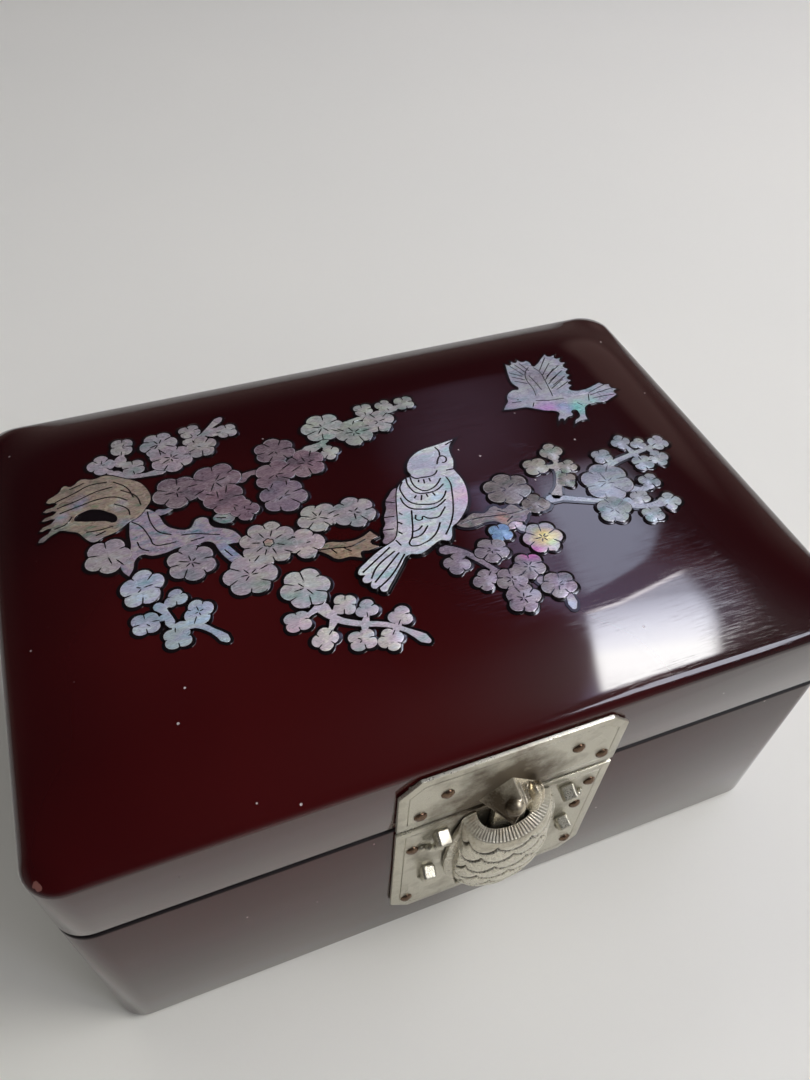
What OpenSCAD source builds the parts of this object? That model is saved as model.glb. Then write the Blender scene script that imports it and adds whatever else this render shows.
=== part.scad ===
// Jewelry box: a lacquered wooden box with a domed lid, a shell inlay, a turtle latch
// and two butt hinges, lined with velvet and fitted with ring rolls and a lid mirror.
// Millimetres, +Z up. The origin is on the floor, under the middle of the base.
// The latch is on the front, which faces -Y, and the hinges are on the back.

/* [Box] */
// Outside width of the box, left to right
box_w = 180; // [176:1:230]
// Outside depth of the box, front to back
box_d = 125; // [118:1:160]
// Height of the parting between the lid and the body
parting_h = 60; // [58:1:80]
// Gap between the rims of the lid and the body
rim_gap = 0.6; // [0.4:0.1:0.8]
// Height of the lid's upright walls, from the parting to the edge of the dome
lid_wall_h = 23.5; // [22:0.5:32]
// Rise of the lid's flat field over the edge of the dome
dome_h = 5.5; // [4:0.5:8]
// Width of the sloping shoulder round the flat field
shoulder_w = 20; // [12:1:21]
// Radius of the upright corners, outside
corner_r = 7.5; // [4:0.5:11]
// Radius of the lid's edge, where the wall turns into the dome
edge_r = 1.6; // [0.8:0.2:2.4]
// Thickness of the wall boards
wall_t = 6; // [5:0.5:8]
// Thickness of the lid's top board at its edge
top_rim_t = 4.5; // [4:0.5:6]
// Thickness of the bottom board
base_t = 4; // [3:0.5:6]
// Thickness of the felt pad under the box
felt_t = 1; // [0.6:0.2:2]
// Distance from the felt pad's edge to the outside of the box
felt_inset = 2; // [1:0.5:4]

/* [Body lining] */
// Thickness of the velvet covered wall panels
velvet_t = 2; // [1.5:0.5:3]
// Distance from the body's rim down to the top of the wall panels
lining_drop = 1.2; // [0.6:0.2:3]
// Thickness of the velvet floor pad
floor_pad_t = 1.5; // [1:0.5:3]
// Thickness of the partitions
divider_t = 3; // [2:0.5:4]
// Height of the partitions over the floor pad
divider_h = 38; // [30:1:44]
// Place of the long partition, back from the middle of the box
divider_long_y = 12; // [0:1:25]
// Place of the cross partition, right of the middle of the box
divider_cross_x = 6; // [-10:1:20]
// Height of the foam bed under the ring rolls
ring_bed_h = 22; // [16:1:28]
// Room left round the bed and the rolls
soft_gap = 0.3; // [0.2:0.1:0.6]

/* [Lid lining] */
// Thickness of the satin strips on the lid's inner walls
satin_t = 1.5; // [1:0.5:2.5]
// Width of the mirror
mirror_w = 150; // [120:1:154]
// Depth of the mirror
mirror_d = 95; // [80:1:97]
// Thickness of the mirror
mirror_t = 2; // [1.5:0.5:3]
// Thickness of the card behind the mirror
card_t = 1.5; // [1:0.5:2.5]
// How far the padded frame laps over the mirror's edge
frame_lap = 5; // [3:0.5:8]
// Thickness of the padded frame below the mirror
frame_lip_t = 1.5; // [1:0.5:3]
// Clearance round the mirror in its frame
mirror_fit = 0.2; // [0.1:0.1:0.5]

/* [Latch plates] */
// Place of the latch, right of the middle of the front
latch_x = 2.5; // [-10:0.5:10]
// Width of the two latch plates
plate_w = 51; // [48:1:60]
// Height of the upper plate
upper_plate_h = 19.8; // [18:0.2:21]
// Height of the lower plate
lower_plate_h = 45.2; // [45:0.2:52]
// Thickness of the plates
plate_t = 1.2; // [0.8:0.1:2]
// Size of the plates' clipped corners
plate_clip = 4.5; // [2:0.5:6]
// Gap between each plate's inner edge and the rim beside it
plate_rim_drop = 0.8; // [0:0.1:1.5]

/* [Turtle] */
// Widest breadth of the turtle's shell
shell_w = 28; // [26:0.5:30]
// Length of the turtle's shell from its collar to its tail
shell_l = 35.3; // [35:0.1:36]
// How far the shell stands out from the plate
shell_proj = 7.9; // [7.5:0.1:9]
// Wall of the cast shell
shell_t = 1.2; // [1:0.1:1.5]
// Distance from the parting down to the shell's collar
collar_drop = 7.7; // [7:0.1:9]
// Distance from the parting down to the shell's pivot pin
pivot_drop = 34; // [33:0.5:35]
// Distance from the plate out to the pivot pin's axis
pivot_out = 2.2; // [2.1:0.1:2.4]
// Radius of the pivot pin
pivot_r = 0.75; // [0.6:0.05:0.9]
// Tilt of the shell when its tail is pressed, in degrees
shell_tilt = 8; // [6:0.5:9]
// Width of the catch tongue under the head
tongue_w = 8; // [6:0.5:10]
// How far the barb reaches under the collar's ledge
barb_bite = 0.6; // [0.4:0.1:1]

/* [Hinges] */
// Distance from the side of the box to the middle of each hinge
hinge_side = 38; // [25:1:50]
// Width of a hinge
hinge_w = 26; // [22:1:36]
// Height of a hinge leaf, from the hinge's axis
leaf_h = 14; // [12:0.5:17]
// Thickness of a hinge leaf
leaf_t = 0.8; // [0.6:0.1:1]
// Outside radius of the hinge knuckles
knuckle_r = 1.8; // [1.6:0.1:2.2]
// Radius of the hinge pins
hinge_pin_r = 0.8; // [0.6:0.05:1]
// Opening angle of the lid, in degrees
lid_open = 100; // [95:1:105]

/* [Nails] */
// Radius of the latch nails' round heads
nail_head_r = 1.5; // [1.2:0.1:1.8]
// Height of the latch nails' heads
nail_head_h = 0.9; // [0.6:0.1:1.2]
// Radius of all nail shanks
shank_r = 0.6; // [0.4:0.05:0.8]
// Depth to which the nails go into the wood
nail_bite = 4; // [3:0.5:4.5]
// Radius of the hinge nails' heads
hinge_nail_head_r = 1.3; // [1:0.1:1.6]

/* [Inlay] */
// Thickness of the shell inlay over the lacquer
inlay_t = 0.5; // [0.3:0.1:0.8]
// Width of the inlay's picture, from the root to the last bud
inlay_w = 144; // [130:1:146]
// Width of the inlay's stems
stem_w = 1.8; // [1.2:0.2:2.4]

/* [Hidden] */
$fn = 48;

// Overshoot of a cut past the face that it leaves through
cut = 1;
// Running clearance of a pin in its bore
run_fit = 0.05;
// Clearance of a fixed pin or nail in its hole
fixed_fit = 0.02;
// Clearance between the moving shell and the plate
shell_clear = 0.3;

// Heights of the carcass
body_top = parting_h - rim_gap / 2;
lid_bottom = parting_h + rim_gap / 2;
crest_z = parting_h + lid_wall_h;
field_z = crest_z + dome_h;
top_board_z = crest_z - top_rim_t;
floor_z = felt_t + base_t;
pad_top = floor_z + floor_pad_t;
lining_top = body_top - lining_drop;

// Plan of the hollow inside the walls
inner_w = box_w - 2 * wall_t;
inner_d = box_d - 2 * wall_t;
front_y = -box_d / 2;
back_y = box_d / 2;

// Ring section, between the cross partition and the right lining
ring_x0 = divider_cross_x + divider_t / 2;
ring_x1 = inner_w / 2 - velvet_t;
ring_y0 = -inner_d / 2 + velvet_t;
ring_y1 = divider_long_y - divider_t / 2;
roll_count = 5;
roll_pitch = (ring_x1 - ring_x0) / roll_count;
roll_r = (roll_pitch - soft_gap) / 2;

// Lid lining
card_z = top_board_z - card_t;
mirror_z = card_z - mirror_t;
frame_z = mirror_z - frame_lip_t;

// Hinge axis
hinge_x = box_w / 2 - hinge_side;
knuckle_wall_gap = 0.1;
hinge_y = back_y + knuckle_r + knuckle_wall_gap;
knuckle_gap = 0.2;
knuckle_l = (hinge_w - 2 * knuckle_gap) / 3;
hinge_xs = [-hinge_x, hinge_x];
leaf_clip = 2;
stop_gap = 0.25;
stop_l = 2;

// Places of the nails, across and up from the latch centre at the parting
upper_nails = [[-15, 12], [-20.5, 5.4], [14.5, 12], [21.5, 5.4]];
lower_nails = [[-21.4, -11.2], [21.4, -7.6], [20, -18.6], [-20, -22], [-21.6, -40], [21.6, -40]];
// Height of the head stud over the parting, and its radius
stud_up = 8.5;
stud_r = 1.5;

// Stations of the turtle's shell from tail to collar: shares of its length below
// the collar, of the full breadth and of the full height
shell_stations = [
    [1, 0.22, 0.22],
    [0.915, 0.52, 0.50],
    [0.8, 0.76, 0.75],
    [0.63, 0.94, 0.94],
    [0.405, 1.00, 1.00],
    [0.207, 0.95, 0.98],
    [0.065, 0.83, 0.90],
    [0, 0.75, 0.85]
];
// Thickness of the collar's ledge, and the neck opening through it
ledge_h = 3.3;
mouth_half_w = 7.4;
mouth_out = 3.7;
// Tongue: gap to the plate, thickness, and play between the barb and the ledge
tongue_gap = 0.4;
tongue_t = 2;
barb_play = 0.3;
barb_ramp = 3;
// Ears that carry the pivot pin, and the leaf spring between them
ear_x = 5;
ear_t = 1.6;
ear_r = 1.7;
spring_w = 6.4;
spring_t = 0.35;

// ---------------------------------------------------------------- plan shapes

module rounded_plan(w, d, r) {
    square([w - 2 * r, d], center = true);
    square([w, d - 2 * r], center = true);
    for (sx = [-1, 1], sy = [-1, 1])
        translate([sx * (w / 2 - r), sy * (d / 2 - r)]) circle(r);
}

// The walls seen from above
module wall_plan() {
    difference() {
        rounded_plan(box_w, box_d, corner_r);
        square([inner_w, inner_d], center = true);
    }
}

// One side's share of the walls, between two mitres; long is the length of the
// side, deep the distance from the middle to its face
module mitre_sector(long, deep) {
    reach = wall_t + cut;
    polygon([
        [-long / 2, -deep], [long / 2, -deep],
        [long / 2 - reach, -deep + reach], [-long / 2 + reach, -deep + reach]
    ]);
}

module front_sector() mitre_sector(box_w, box_d / 2);
module back_sector() rotate(180) mitre_sector(box_w, box_d / 2);
module left_sector() rotate(-90) mitre_sector(box_d, box_w / 2);
module right_sector() rotate(90) mitre_sector(box_d, box_w / 2);

module raise(z0, z1) translate([0, 0, z0]) linear_extrude(z1 - z0) children();

module board(z0, z1) color("#5a1010") raise(z0, z1) intersection() {
    wall_plan();
    children();
}

// ------------------------------------------------------------ fixing with nails

// Nail along +Z: round head over z = 0, shank below it
module nail(head_r, head_h, shank_l) {
    dome_r = (head_r * head_r + head_h * head_h) / (2 * head_h);
    intersection() {
        translate([0, 0, head_h - dome_r]) sphere(dome_r);
        cylinder(r = head_r + cut, h = head_h + cut);
    }
    translate([0, 0, -shank_l]) cylinder(r = shank_r, h = shank_l);
}

// Latch frame: x across, y into the box, z up; the origin is on the plates'
// outer face, at the middle of the latch and at the parting
module at_latch() translate([latch_x, front_y - plate_t, parting_h]) children();

module at_latch_nails(places) at_latch()
    for (p = places) translate([p[0], 0, p[1]]) rotate([90, 0, 0]) children();

nail_l = plate_t + nail_bite;
module latch_nails(places) color("#4a3524") at_latch_nails(places)
    nail(nail_head_r, nail_head_h, nail_l);
module latch_nail_holes(places) at_latch_nails(places)
    translate([0, 0, -nail_l]) cylinder(r = shank_r + fixed_fit, h = nail_l + cut);

module stud_hole() at_latch() translate([0, -cut, stud_up])
    rotate([-90, 0, 0]) cylinder(r = stud_r + fixed_fit, h = nail_l + cut);

hinge_nail_l = leaf_t + nail_bite;
hinge_nail_head_h = 0.7;
hinge_nail_up = leaf_h - 4.5;
module at_hinge_nails(side) for (x = hinge_xs, i = [-1, 0, 1])
    translate([x + i * hinge_w / 3, back_y + leaf_t, parting_h + side * hinge_nail_up])
        rotate([-90, 0, 0]) children();
module hinge_nail_holes(side) at_hinge_nails(side)
    translate([0, 0, -hinge_nail_l]) cylinder(r = shank_r + fixed_fit, h = hinge_nail_l + cut);

// -------------------------------------------------------------- body carcass

module body_front_board() color("#5a1010") difference() {
    board(felt_t, body_top) front_sector();
    latch_nail_holes(lower_nails);
}
module body_back_board() color("#5a1010") difference() {
    board(felt_t, body_top) back_sector();
    hinge_nail_holes(-1);
}
module body_left_board() board(felt_t, body_top) left_sector();
module body_right_board() board(felt_t, body_top) right_sector();

module base_board() color("#6b4a2e") raise(felt_t, floor_z) square([inner_w, inner_d], center = true);
module base_felt() color("#1c1c20") raise(0, felt_t)
    rounded_plan(box_w - 2 * felt_inset, box_d - 2 * felt_inset, corner_r - felt_inset / 2);

// --------------------------------------------------------------- body lining

module panel(x, y, w, d, z0, z1) raise(z0, z1) translate([x, y]) square([w, d], center = true);

panel_y = (inner_d - velvet_t) / 2;
panel_x = (inner_w - velvet_t) / 2;
side_panel_d = inner_d - 2 * velvet_t;
module lining_front() color("#7d0f1c") panel(0, -panel_y, inner_w, velvet_t, floor_z, lining_top);
module lining_back() color("#7d0f1c") panel(0, panel_y, inner_w, velvet_t, floor_z, lining_top);
module lining_left() color("#7d0f1c") panel(-panel_x, 0, velvet_t, side_panel_d, floor_z, lining_top);
module lining_right() color("#7d0f1c") panel(panel_x, 0, velvet_t, side_panel_d, floor_z, lining_top);
module lining_floor() color("#7d0f1c")
    panel(0, 0, inner_w - 2 * velvet_t, side_panel_d, floor_z, pad_top);

module divider_long() color("#8c1424")
    panel(0, divider_long_y, inner_w - 2 * velvet_t, divider_t, pad_top, pad_top + divider_h);
module divider_cross() color("#8c1424")
    panel(divider_cross_x, (ring_y0 + ring_y1) / 2, divider_t, ring_y1 - ring_y0,
        pad_top, pad_top + divider_h);

module ring_bed() color("#6d0c18") panel((ring_x0 + ring_x1) / 2, (ring_y0 + ring_y1) / 2,
    ring_x1 - ring_x0 - 2 * soft_gap, ring_y1 - ring_y0 - 2 * soft_gap,
    pad_top, pad_top + ring_bed_h);

module ring_roll(i) color("#9a1a2c")
    translate([ring_x0 + (i - 0.5) * roll_pitch, ring_y1 - soft_gap, pad_top + ring_bed_h + soft_gap + roll_r])
        rotate([90, 0, 0]) cylinder(r = roll_r, h = ring_y1 - ring_y0 - 2 * soft_gap);

// --------------------------------------------------------------- lid carcass

module lid_front_board() color("#5a1010") difference() {
    board(lid_bottom, top_board_z) front_sector();
    latch_nail_holes(upper_nails);
    stud_hole();
}
module lid_back_board() color("#5a1010") difference() {
    board(lid_bottom, top_board_z) back_sector();
    hinge_nail_holes(1);
}
module lid_left_board() board(lid_bottom, top_board_z) left_sector();
module lid_right_board() board(lid_bottom, top_board_z) right_sector();

// Rise of the shoulder at a share of its width, flat where it meets the field
shoulder_steps = 9;
shoulder_power = 2.2;
function shoulder_rise(t) = dome_h * (1 - pow(1 - t, shoulder_power));

// Profile of the top board, from its underside up: inset from the outline, and height
edge_steps = 4;
top_profile = concat(
    [[0, top_board_z]],
    [for (i = [0:edge_steps - 1])
        let (a = 90 * i / edge_steps)
            [edge_r * (1 - cos(a)), crest_z - edge_r * (1 - sin(a))]],
    [for (i = [0:shoulder_steps])
        let (t = i / shoulder_steps)
            [edge_r + t * (shoulder_w - edge_r), crest_z + shoulder_rise(t)]]
);

// Points of the box's rounded outline, drawn in by an inset and raised to z
corner_steps = 8;
ring_points = 4 * (corner_steps + 1);
function plan_ring(inset, z) = [
    for (q = [0:3], k = [0:corner_steps])
        let (
            a = 90 * (q + k / corner_steps),
            sx = (q == 0 || q == 3) ? 1 : -1,
            sy = q < 2 ? 1 : -1
        )
            [
                sx * (box_w / 2 - inset - corner_r) + corner_r * cos(a),
                sy * (box_d / 2 - inset - corner_r) + corner_r * sin(a),
                z
            ]
];

module lid_top_board() color("#641212") polyhedron(
    points = [for (p = top_profile) each plan_ring(p[0], p[1])],
    faces = concat(
        [[for (k = [0:ring_points - 1]) k]],
        [for (i = [0:len(top_profile) - 2], k = [0:ring_points - 1])
            let (
                here = i * ring_points + k,
                next = i * ring_points + (k + 1) % ring_points
            )
                each [
                    [here, here + ring_points, next],
                    [next, here + ring_points, next + ring_points]
                ]],
        [[for (k = [ring_points - 1:-1:0]) (len(top_profile) - 1) * ring_points + k]]
    )
);

// ---------------------------------------------------------------- lid lining

module mirror_backing() color("#3a2a20") panel(0, 0, inner_w, inner_d, card_z, top_board_z);
module mirror_glass() color("#c8d2d8") panel(0, 0, mirror_w, mirror_d, mirror_z, card_z);
module mirror_frame() color("#b8863c") difference() {
    panel(0, 0, inner_w, inner_d, frame_z, card_z);
    panel(0, 0, mirror_w + 2 * mirror_fit, mirror_d + 2 * mirror_fit, mirror_z, card_z + cut);
    panel(0, 0, mirror_w - 2 * frame_lap, mirror_d - 2 * frame_lap, frame_z - cut, card_z + cut);
}

strip_y = (inner_d - satin_t) / 2;
strip_x = (inner_w - satin_t) / 2;
strip_z = lid_bottom + lining_drop;
module lid_lining_front() color("#b8863c") panel(0, -strip_y, inner_w, satin_t, strip_z, frame_z);
module lid_lining_back() color("#b8863c") panel(0, strip_y, inner_w, satin_t, strip_z, frame_z);
module lid_lining_left() color("#b8863c")
    panel(-strip_x, 0, satin_t, inner_d - 2 * satin_t, strip_z, frame_z);
module lid_lining_right() color("#b8863c")
    panel(strip_x, 0, satin_t, inner_d - 2 * satin_t, strip_z, frame_z);

// -------------------------------------------------------------- latch plates

// Outline of a plate h high that hangs or stands from its straight edge
module plate_plan(h) polygon([
    [-plate_w / 2, 0], [plate_w / 2, 0],
    [plate_w / 2, h - plate_clip], [plate_w / 2 - plate_clip, h],
    [-plate_w / 2 + plate_clip, h], [-plate_w / 2, h - plate_clip]
]);

upper_plate_up = rim_gap / 2 + plate_rim_drop / 2;
lower_plate_down = rim_gap / 2 + plate_rim_drop;
module upper_plate() color("#b9b49c") difference() {
    at_latch() translate([0, plate_t, upper_plate_up]) rotate([90, 0, 0])
        linear_extrude(plate_t) plate_plan(upper_plate_h);
    latch_nail_holes(upper_nails);
    stud_hole();
}
module upper_plate_nails() latch_nails(upper_nails);
module lower_plate_nails() latch_nails(lower_nails);

// A leg or foot: a rounded bar lying on the plate, from p to q, r thick
module leg(p, q, r) intersection() {
    hull() {
        translate([p[0], -r / 2, p[1]]) sphere(r, $fn = 24);
        translate([q[0], -r / 2, q[1]]) sphere(r * 0.8, $fn = 24);
    }
    translate([-plate_w / 2, -4 * r, -lower_plate_h]) cube([plate_w, 4 * r, lower_plate_h]);
}

module along_x(x, w) translate([x - w / 2, 0, 0]) rotate([90, 0, 90]) linear_extrude(w) children();

module at_pivot() at_latch() translate([0, -pivot_out, -pivot_drop]) children();
module pivot_bore(r, w) at_pivot() translate([-w / 2, 0, 0]) rotate([0, 90, 0]) cylinder(r = r, h = w);

// The lower plate with the turtle's four legs and the two ears for its pivot
front_leg = [[14.6, -9], [18.2, -11.2], 2.1];
rear_leg = [[15.9, -27.2], [18, -28.4], 1.9];
module lower_plate() color("#b9b49c") difference() {
    union() {
        at_latch() translate([0, plate_t, -lower_plate_down]) rotate([90, 0, 0])
            linear_extrude(plate_t) mirror([0, 1]) plate_plan(lower_plate_h);
        at_latch() for (side = [-1, 1], l = [front_leg, rear_leg])
            leg([side * l[0][0], l[0][1]], [side * l[1][0], l[1][1]], l[2]);
        at_pivot() for (side = [-1, 1]) {
            along_x(side * ear_x, ear_t) circle(ear_r);
            along_x(side * ear_x, ear_t) translate([0, -ear_r]) square([pivot_out, 2 * ear_r]);
        }
    }
    latch_nail_holes(lower_nails);
    pivot_bore(pivot_r + run_fit, 2 * ear_x + 2 * ear_t);
}

// ------------------------------------------------------------------- turtle

// One station of the shell: a thin half ellipse standing on the plate, less an inset
station_t = 0.05;
module station(s, inset) {
    half_w = shell_w / 2 * s[1] - inset;
    out = shell_proj * s[2] - inset;
    translate([0, 0, -s[0] * shell_l - collar_drop]) linear_extrude(station_t)
        polygon([for (a = [0:9:180]) [half_w * cos(a), -out * sin(a)]]);
}

// Half space in front of the plate that the shell keeps out of, turned with the tilt
module plate_room(tilt) rotate([-tilt, 0, 0])
    translate([-shell_w, pivot_out - shell_clear, -2 * lower_plate_h])
        cube([2 * shell_w, shell_w, 4 * lower_plate_h]);

ledge_z = -collar_drop - ledge_h;
module turtle_shell() color("#c3bda4") difference() {
    at_latch() hull() for (s = shell_stations) station(s, 0);
    at_latch() intersection() {
        hull() for (s = shell_stations) station(s, shell_t);
        translate([-shell_w, -shell_w, ledge_z - lower_plate_h]) cube([2 * shell_w, 2 * shell_w, lower_plate_h]);
    }
    at_latch() translate([0, 0, ledge_z - cut]) linear_extrude(ledge_h + 2 * cut)
        polygon([for (a = [0:9:180]) [mouth_half_w * cos(a), -mouth_out * sin(a)]]);
    at_pivot() plate_room(0);
    at_pivot() plate_room(shell_tilt);
    pivot_bore(pivot_r + fixed_fit, 2 * shell_w);
}

// The pin ends inside the thickness of the shell's side walls
pivot_share = 0.74;
shell_pin_l = shell_w * pivot_share;
module shell_pin() color("#8d8872") pivot_bore(pivot_r, shell_pin_l);

// Leaf spring, bent in a V: one leg on the plate, the other against the tail
spring_bend_drop = 6.2;
spring_tip = [3.6, -3.2];
module shell_spring() color("#a08850") at_latch() translate([0, 0, -pivot_drop])
    along_x(0, spring_w) polygon([
        [0, 0], [0, -spring_bend_drop], [-spring_t, -spring_bend_drop],
        [-spring_tip[0], spring_tip[1]], [-spring_tip[0], spring_tip[1] + spring_t],
        [-2 * spring_t, -spring_bend_drop + 3 * spring_t], [-spring_t, 0]
    ]);

// Head with its neck on the plate, and the tongue that goes down through the collar
head_neck = [0.8, 8.5, 5];
head_skull = [3.8, 3.2, 3.8];
head_snout = [4.2, -2.6, 2];
module head_ball(b) translate([0, -b[0], b[1]]) sphere(b[2], $fn = 32);
module turtle_head() color("#9c967e") union() {
    at_latch() intersection() {
        hull() {
            head_ball(head_neck);
            head_ball(head_skull);
            head_ball(head_snout);
        }
        translate([-plate_w / 2, -plate_w, -plate_w / 2]) cube(plate_w);
    }
    at_latch() translate([0, 0, stud_up]) rotate([-90, 0, 0]) cylinder(r = stud_r, h = nail_l);
    at_latch() along_x(0, tongue_w) polygon([
        [-tongue_gap, head_skull[1]], [-tongue_gap - tongue_t, head_skull[1]],
        [-tongue_gap - tongue_t, ledge_z - barb_play],
        [-mouth_out - barb_bite, ledge_z - barb_play],
        [-tongue_gap - tongue_t, ledge_z - barb_play - barb_ramp],
        [-tongue_gap, ledge_z - barb_play - barb_ramp]
    ]);
}

// ------------------------------------------------------------------- hinges

module at_hinge(i) translate([hinge_xs[i], hinge_y, parting_h]) children();

// Flat of a leaf under (side -1) or over (side 1) the axis, clear of the other knuckles
leaf_face = back_y - hinge_y;
knuckle_room = knuckle_r + knuckle_gap;
leaf_edge = sqrt(knuckle_room * knuckle_room - pow(leaf_face + leaf_t, 2));
module leaf_flat(side) translate([0, leaf_face + leaf_t, 0]) rotate([90, 0, 0]) linear_extrude(leaf_t)
    mirror([0, side < 0 ? 1 : 0]) polygon([
        [-hinge_w / 2, leaf_edge], [hinge_w / 2, leaf_edge],
        [hinge_w / 2, leaf_h - leaf_clip], [hinge_w / 2 - leaf_clip, leaf_h],
        [-hinge_w / 2 + leaf_clip, leaf_h], [-hinge_w / 2, leaf_h - leaf_clip]
    ]);

// One knuckle with the web that joins it to its leaf
module knuckle(x, side) {
    along_x(x, knuckle_l) circle(knuckle_r);
    along_x(x, knuckle_l) translate([leaf_face, side < 0 ? -leaf_edge : leaf_edge - knuckle_r / 2])
        square([leaf_t, knuckle_r / 2]);
}

module hinge_bore() translate([-hinge_w, 0, 0]) rotate([0, 90, 0])
    cylinder(r = hinge_pin_r + run_fit, h = 2 * hinge_w);

module body_leaf(i) color("#b9b49c") difference() {
    at_hinge(i) union() {
        leaf_flat(-1);
        for (s = [-1, 1]) knuckle(s * (knuckle_l + knuckle_gap), -1);
    }
    at_hinge(i) hinge_bore();
    hinge_nail_holes(-1);
}

// The lid's leaf has a stop on its knuckle, which meets the body's leaf when the lid is open
module lid_leaf(i) color("#b9b49c") difference() {
    at_hinge(i) union() {
        leaf_flat(1);
        knuckle(0, 1);
        rotate([lid_open, 0, 0]) along_x(0, knuckle_l)
            translate([leaf_face + leaf_t + stop_gap, -knuckle_r - stop_l])
                square([leaf_t, stop_l + knuckle_r / 2]);
    }
    at_hinge(i) hinge_bore();
    hinge_nail_holes(1);
}

pin_head_r = knuckle_r * 0.8;
pin_head_l = 0.8;
module hinge_pin(i) color("#8d8872") at_hinge(i) {
    translate([-hinge_w / 2 - pin_head_l, 0, 0]) rotate([0, 90, 0])
        cylinder(r = hinge_pin_r, h = hinge_w + 2 * pin_head_l);
    for (s = [-1, 1]) translate([s * (hinge_w / 2 + run_fit + pin_head_l / 2), 0, 0])
        rotate([0, 90, 0]) cylinder(r = pin_head_r, h = pin_head_l, center = true);
}

module hinge_nails(side) color("#4a3524") at_hinge_nails(side)
    nail(hinge_nail_head_r, hinge_nail_head_h, hinge_nail_l);

// ------------------------------------------------------------------- inlay

// Blossoms and buds: place from the middle of the lid, radius and turn
blossoms_left = [
    [-65, 4, 5, 20], [-59.5, -7.5, 5, 50], [-48.5, -3.5, 5.2, 0], [-62.5, 33, 3, 40],
    [-57, 38, 3.4, 80], [-55.5, 30, 2.8, 0], [-48.5, 36.5, 4.2, 30], [-46.5, 30.5, 5, 0],
    [-40.5, 39.5, 2.6, 10], [-38.5, 32, 4, 50], [-32, 36, 2.4, 0], [-47.5, 18.5, 5.2, 10],
    [-38.5, 19, 6.4, 30], [-37.5, 12.5, 5.2, 0], [-34, 7.6, 3, 40], [-60.4, -16.5, 3.1, 0],
    [-53.5, -12, 2.5, 30], [-49.5, -17, 3.3, 60], [-55, -22, 2.9, 0]
];
blossoms_middle = [
    [-22.5, 25, 5, 0], [-24.5, 17, 5.2, 30], [-16.5, 18.5, 4.5, 60], [-24.5, 9.5, 5.4, 10],
    [-9, 30, 5.2, 20], [-2, 25.5, 4.6, 0], [5, 27.5, 4.2, 40], [3, 33, 2.4, 0],
    [8.6, 32.8, 2.2, 20], [14, 32.4, 2.6, 0], [-10, 20.5, 2.4, 50], [-31.5, -3.5, 6.4, 0],
    [-37.5, -11, 5.6, 20], [-24, -6, 4.2, 40], [-19, 0.5, 4.8, 10], [-10.5, -0.5, 4.9, 0],
    [-27.5, -18.5, 5.2, 30], [-31.4, -26, 3, 0], [-27.4, -32, 2.9, 40], [-21, -25, 2.8, 70],
    [-17, -27.5, 2.6, 20], [-20.4, -34.6, 3.1, 0], [-15, -36.5, 2.7, 50], [-11, -31.5, 2.7, 0]
];
blossoms_right = [
    [26, -5, 5.6, 0], [30, -11, 2.8, 30], [28, -21, 5, 20], [18.5, -17.5, 2.7, 0],
    [25.5, -15, 1.8, 30], [36, -0.2, 3.2, 0], [42, 3.4, 2.9, 40], [43.5, -2.6, 2.4, 10],
    [41, -6.6, 2.4, 60], [50, -10.8, 6.2, 0], [47, -19.4, 4.2, 30], [53.4, -2.2, 2.6, 0],
    [60.5, 1, 2.5, 40], [64.6, -1, 2.1, 0], [70, -1.6, 2.8, 20], [62, -7.4, 2.8, 0],
    [66.8, -7, 2.8, 50], [60, -13.6, 2.6, 10], [55, -17.6, 2.4, 0], [61, -21, 2.8, 30],
    [55, -23.6, 2.8, 0], [5.6, -22.6, 2.9, 20], [14.4, -21.4, 3.7, 0], [9.6, -28.6, 2.9, 40],
    [15.2, -30.2, 3.3, 10], [20.4, -28.2, 3.4, 0], [15.2, -35.8, 3.9, 30], [24, -35, 3.7, 0]
];
// Stems of the three groups, as chains of places
stems_left = [
    [[-60, 29.6], [-54, 27.6], [-46, 28.4]],
    [[-42, 36], [-37, 36.5], [-32, 41]],
    [[-57.4, -12], [-55.6, -20], [-51, -21.5], [-46.6, -25.6]]
];
stems_middle = [
    [[-16, 22.5], [-8, 26], [1, 30], [12, 31]],
    [[-26, -24], [-20, -30], [-14, -33.5], [-8, -38.6]]
];
stems_right = [
    [[35, -11], [38, -8], [41, -2]],
    [[35, -11.4], [42, -13.6], [48, -16]],
    [[50, -8], [54.4, -5.4], [62, -4], [69, -2]],
    [[49, -17], [55, -20.4], [61, -20.4]],
    [[52, -12], [56, -15], [60, -14]],
    [[4.4, -18.4], [8, -19.6], [11, -24], [15, -29]],
    [[21, -33], [25, -37.6], [24, -41]]
];

petal_steps = 30;
module blossom(b) translate([b[0], b[1]]) rotate(b[3]) polygon([
    for (i = [0:petal_steps - 1])
        let (a = 360 * i / petal_steps, r = b[2] * (0.88 + 0.12 * cos(5 * a)))
            [r * cos(a), r * sin(a)]
]);
module blossoms(list) for (b = list) blossom(b);

// One stem as a ribbon of even width along its chain of places
function stem_side(chain, i) = let (d = chain[min(i + 1, len(chain) - 1)] - chain[max(i - 1, 0)])
    [-d[1], d[0]] / norm(d) * stem_w / 2;
module stem(chain) polygon(concat(
    [for (i = [0:len(chain) - 1]) chain[i] + stem_side(chain, i)],
    [for (i = [len(chain) - 1:-1:0]) chain[i] - stem_side(chain, i)]
));

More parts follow.
